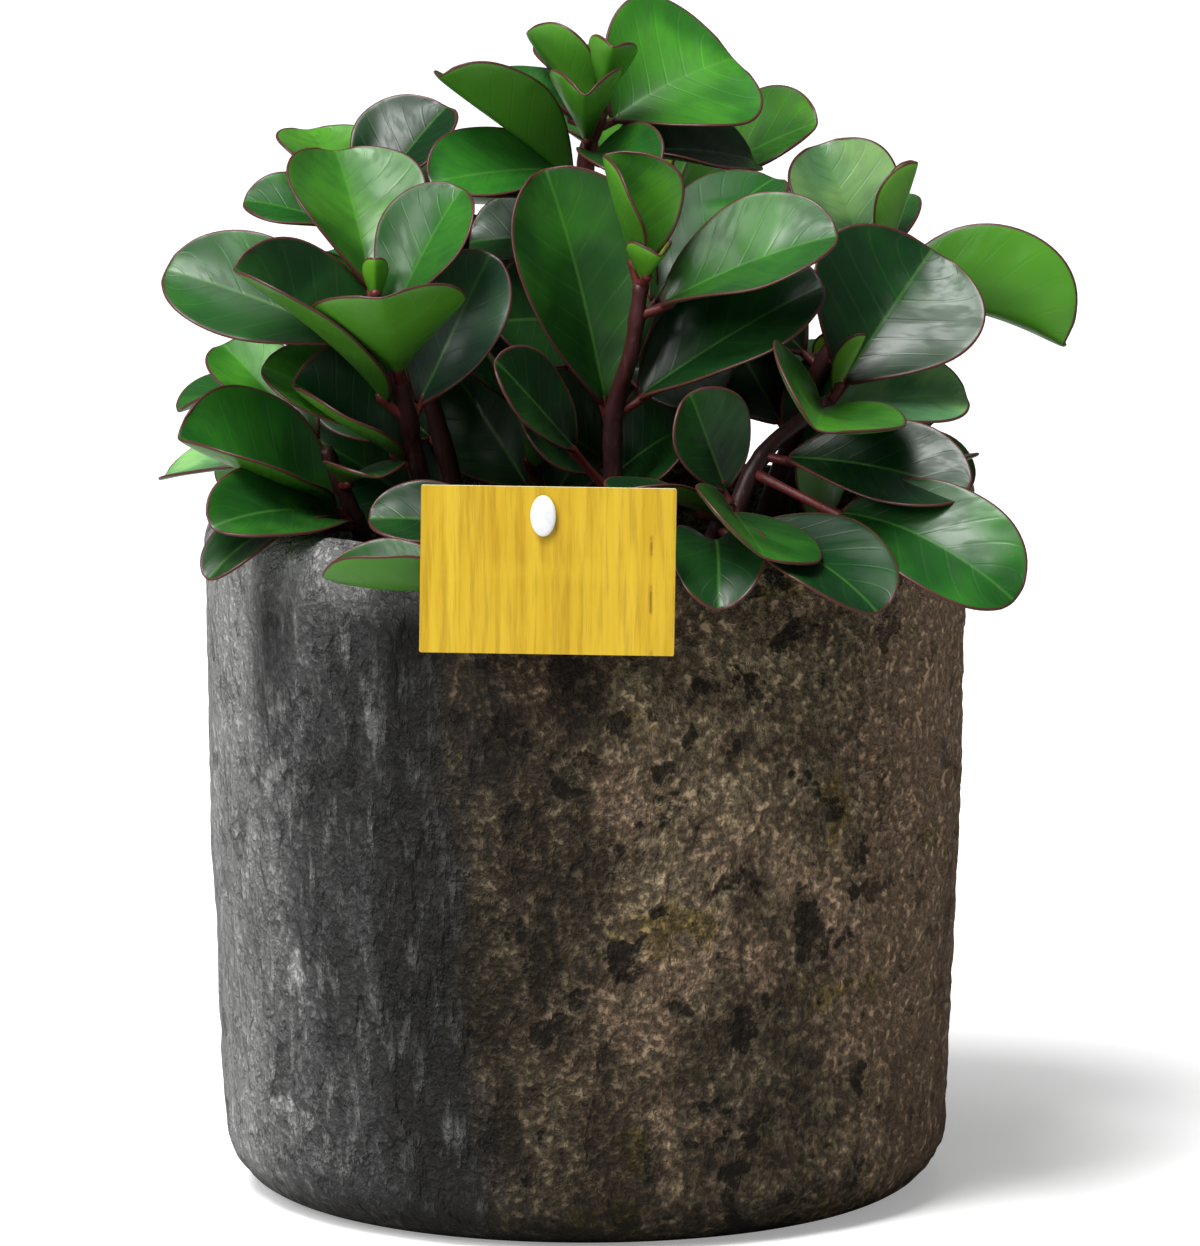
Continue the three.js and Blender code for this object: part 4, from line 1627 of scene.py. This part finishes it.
@dataclass
class Soil:
    """The potting mix, with a crumbly top and loose bark."""

    radius: float = 110.7
    bottom: float = 16.3
    edge_height: float = 198.0
    middle_height: float = 203.0
    top_from: float = 190.0
    top_inset: float = 1.0
    rings: int = 44
    sides: int = 200
    crumble: Roughening = Roughening("crumble", Pattern.CLOUDS, 8, "top", 5.0, 0.5, 4)
    crumbs: int = 190
    crumb_sizes: tuple[tuple[float, float], ...] = ((2, 5), (1.2, 3), (1, 1.8))
    crumb_lift: float = 0.8
    wall_gap: float = 7.0
    keep_off: float = 8.0

    def height_at(self, distance: float) -> float:
        """The soil's height at a distance from the axis."""
        return self.middle_height - (self.middle_height - self.edge_height) * (distance / self.radius) ** 2

    def build_top(self) -> Object:
        """Spins the body of soil and roughens its top.

        Returns:
            The body of soil.
        """
        top = [(radius, self.height_at(radius)) for radius in np.linspace(self.radius, 0, self.rings)]
        body = spin_profile("soil_mix", [(0.0, self.bottom), (self.radius, self.bottom), *top], self.sides)
        at = coordinates(body) / MM
        inside = np.hypot(at[:, 0], at[:, 1]) < self.radius - self.top_inset
        weigh(body, "top", ((at[:, 2] > self.top_from) & inside).astype(float))
        self.crumble.apply(body)
        smooth(body)
        return body

    def build_crumbs(self, chance: random.Random) -> Object:
        """Scatters loose bits of bark, clear of the stems.

        Args:
            chance: the seeded source of their places.

        Returns:
            The crumbs as one object.
        """
        deselect_all()
        bpy.ops.mesh.primitive_ico_sphere_add(subdivisions=2, radius=MM)
        chip = new_primitive("chip")
        paths = [*(plan.path for plan in STEMS.values()), PICK_PATH]
        roots = [np.array(path[0][:2], float) for path in paths]
        chips = []
        while len(chips) < self.crumbs:
            angle = chance.uniform(0, FULL_TURN)
            distance = (self.radius - self.wall_gap) * math.sqrt(chance.random())
            place = np.array((distance * math.cos(angle), distance * math.sin(angle)))
            if min(np.linalg.norm(place - root) for root in roots) < self.keep_off:
                continue
            bit = copy_of(chip, "crumb")
            height = self.height_at(distance) + self.crumb_lift
            bit.location = (place[0] * MM, place[1] * MM, height * MM)
            bit.rotation_euler = [chance.uniform(0, math.pi) for _ in range(3)]
            bit.scale = [chance.uniform(*sizes) for sizes in self.crumb_sizes]
            chips.append(bit)
        bpy.data.objects.remove(chip)
        return join(chips, "soil_crumbs")

    def build(self, chance: random.Random, material: Material) -> None:
        """Builds and dresses the soil and its crumbs.

        Args:
            chance: the seeded source of the crumbs' places.
            material: the soil material.
        """
        finish_piece(self.build_top(), material, "soil", "soil")
        finish_piece(self.build_crumbs(chance), material, "soil")


@dataclass
class Label:
    """The card in front of the rim and the bent pick that holds it."""

    rod_radius: float = 1.6
    rod_points: int = 60
    head_width: float = 8.0
    head_height: float = 13.0
    head_thickness: float = 2.0
    head_back: float = -138.3

    def build_pick(self, material: Material) -> None:
        """Builds the rod and its domed oval head.

        Args:
            material: the plastic.
        """
        points = StemPath(PICK_PATH).along(self.rod_points)
        rod = tube("pick_rod", [(points, np.full(self.rod_points, self.rod_radius))], rounding=4)
        x, _, z = PICK_PATH[-1]
        centre = (x * MM, (self.head_back - self.head_thickness / 2) * MM, z * MM)
        deselect_all()
        bpy.ops.mesh.primitive_uv_sphere_add(segments=40, ring_count=24, radius=1.0, location=centre)
        head = new_primitive("pick_head")
        head.scale = [size / 2 * MM for size in (self.head_width, self.head_thickness, self.head_height)]
        smooth(head)
        finish_piece(join([rod, head], "pick"), material, "pick", "label_pick")

    def dress_card(self, finish: CardFinish) -> None:
        """Puts the wood print on the card's CAD node.

        Args:
            finish: the card's finish.
        """
        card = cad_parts["label_card"]
        card.data.materials.clear()
        card.data.materials.append(finish.make(*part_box("label_card")))
        LOG.info("label_card: dressed")


class LightKind(Enum):
    """The studio's two kinds of light, by Blender's names for them."""

    SUN = "SUN"
    AREA = "AREA"


def facing(direction: Vector) -> Euler:
    """The turn that points a camera or a light in a direction."""
    return direction.to_track_quat("-Z", "Y").to_euler()


@dataclass(frozen=True)
class StudioLight:
    """A light in metres. A sun's size is its angle in degrees, and an area light's is its width."""

    name: str
    kind: LightKind
    place: Point
    power: float
    size: float

    def add(self, aim: Vector) -> None:
        """Adds the light.

        Args:
            aim: what it shines at.
        """
        data = bpy.data.lights.new(self.name, self.kind.value)
        data.energy = self.power
        if self.kind is LightKind.SUN:
            data.angle = math.radians(self.size)
        else:
            data.size = self.size
        light = new_object(self.name, data)
        light.location = self.place
        light.rotation_euler = facing(aim - Vector(self.place))


@dataclass
class Studio:
    """Pale floor, soft light and the camera."""

    aim: Point = (0.00477, 0.0, 0.1863)
    distance: float = 3.0
    pitch: float = 8.7
    lens: float = 263.5
    sensor: float = 36.0
    floor_size: float = 40.0
    floor_colour: Colour = (0.90, 0.90, 0.90)
    floor_bounce: Colour = (0.50, 0.50, 0.50)
    floor_glow: float = 0.3
    white: Colour = (1.0, 1.0, 1.0)
    sky_strength: float = 0.14
    lights: tuple[StudioLight, ...] = (
        StudioLight("sky_sun", LightKind.SUN, (-0.8, -1.1, 2.6), 3.1, 24.0),
        StudioLight("softbox", LightKind.AREA, (-1.5, -1.6, 1.4), 32.0, 1.0),
        StudioLight("top_light", LightKind.AREA, (-0.5, -0.4, 2.2), 24.0, 1.6),
    )

    def build_camera(self) -> None:
        """Puts the camera where the photograph was taken."""
        data = bpy.data.cameras.new("camera")
        data.sensor_width = self.sensor
        data.lens = self.lens
        data.clip_end = 100.0
        camera = new_object("camera", data)
        tilt = math.radians(self.pitch)
        back = Vector((0.0, -math.cos(tilt), math.sin(tilt)))
        camera.location = Vector(self.aim) + back * self.distance
        camera.rotation_euler = facing(-back)
        bpy.context.scene.camera = camera

    def build_floor(self) -> None:
        """Lays a large pale floor under the pot, which throws less light back than the camera sees."""
        deselect_all()
        bpy.ops.mesh.primitive_plane_add(size=self.floor_size)
        floor = new_primitive("floor")
        material, shader = start_material("pale_floor")
        seen = shader.node("LightPath").outputs["Is Camera Ray"]
        shader.surface(
            {
                "Base Color": shader.mix(seen, self.floor_bounce, self.floor_colour),
                "Emission Strength": shader.times(seen, self.floor_glow),
                "Emission Color": self.white,
                "Roughness": 0.9,
            }
        )
        floor.data.materials.append(material)

    def build_sky(self) -> None:
        """Surrounds the scene with faint white light."""
        world = bpy.data.worlds.new("world")
        world.use_nodes = True
        backdrop = world.node_tree.nodes["Background"]
        Shader(world.node_tree).feed(backdrop, {"Color": self.white, "Strength": self.sky_strength})
        bpy.context.scene.world = world

    def build(self) -> None:
        """Builds the whole studio."""
        self.build_camera()
        self.build_floor()
        self.build_sky()
        for light in self.lights:
            light.add(Vector(self.aim))
        bpy.context.scene.view_settings.view_transform = "Standard"


def main() -> None:
    """Builds every sub-assembly in order."""
    logging.basicConfig(level=logging.INFO, format="%(message)s")
    chance = random.Random(SEED)
    Studio().build()
    Pot().build(CeramicFinish().make())
    Soil().build(chance, SoilFinish().make())
    label = Label()
    label.build_pick(PlasticFinish().make())
    label.dress_card(CardFinish())
    leaf, stalk = LeafFinish().make(), StalkFinish().make()
    grid = BladeGrid()
    grid.build()
    for name, plan in STEMS.items():
        LeafyStem(name, plan).build(grid, chance, leaf, stalk)
    grid.remove()


if __name__ == "__main__":
    main()
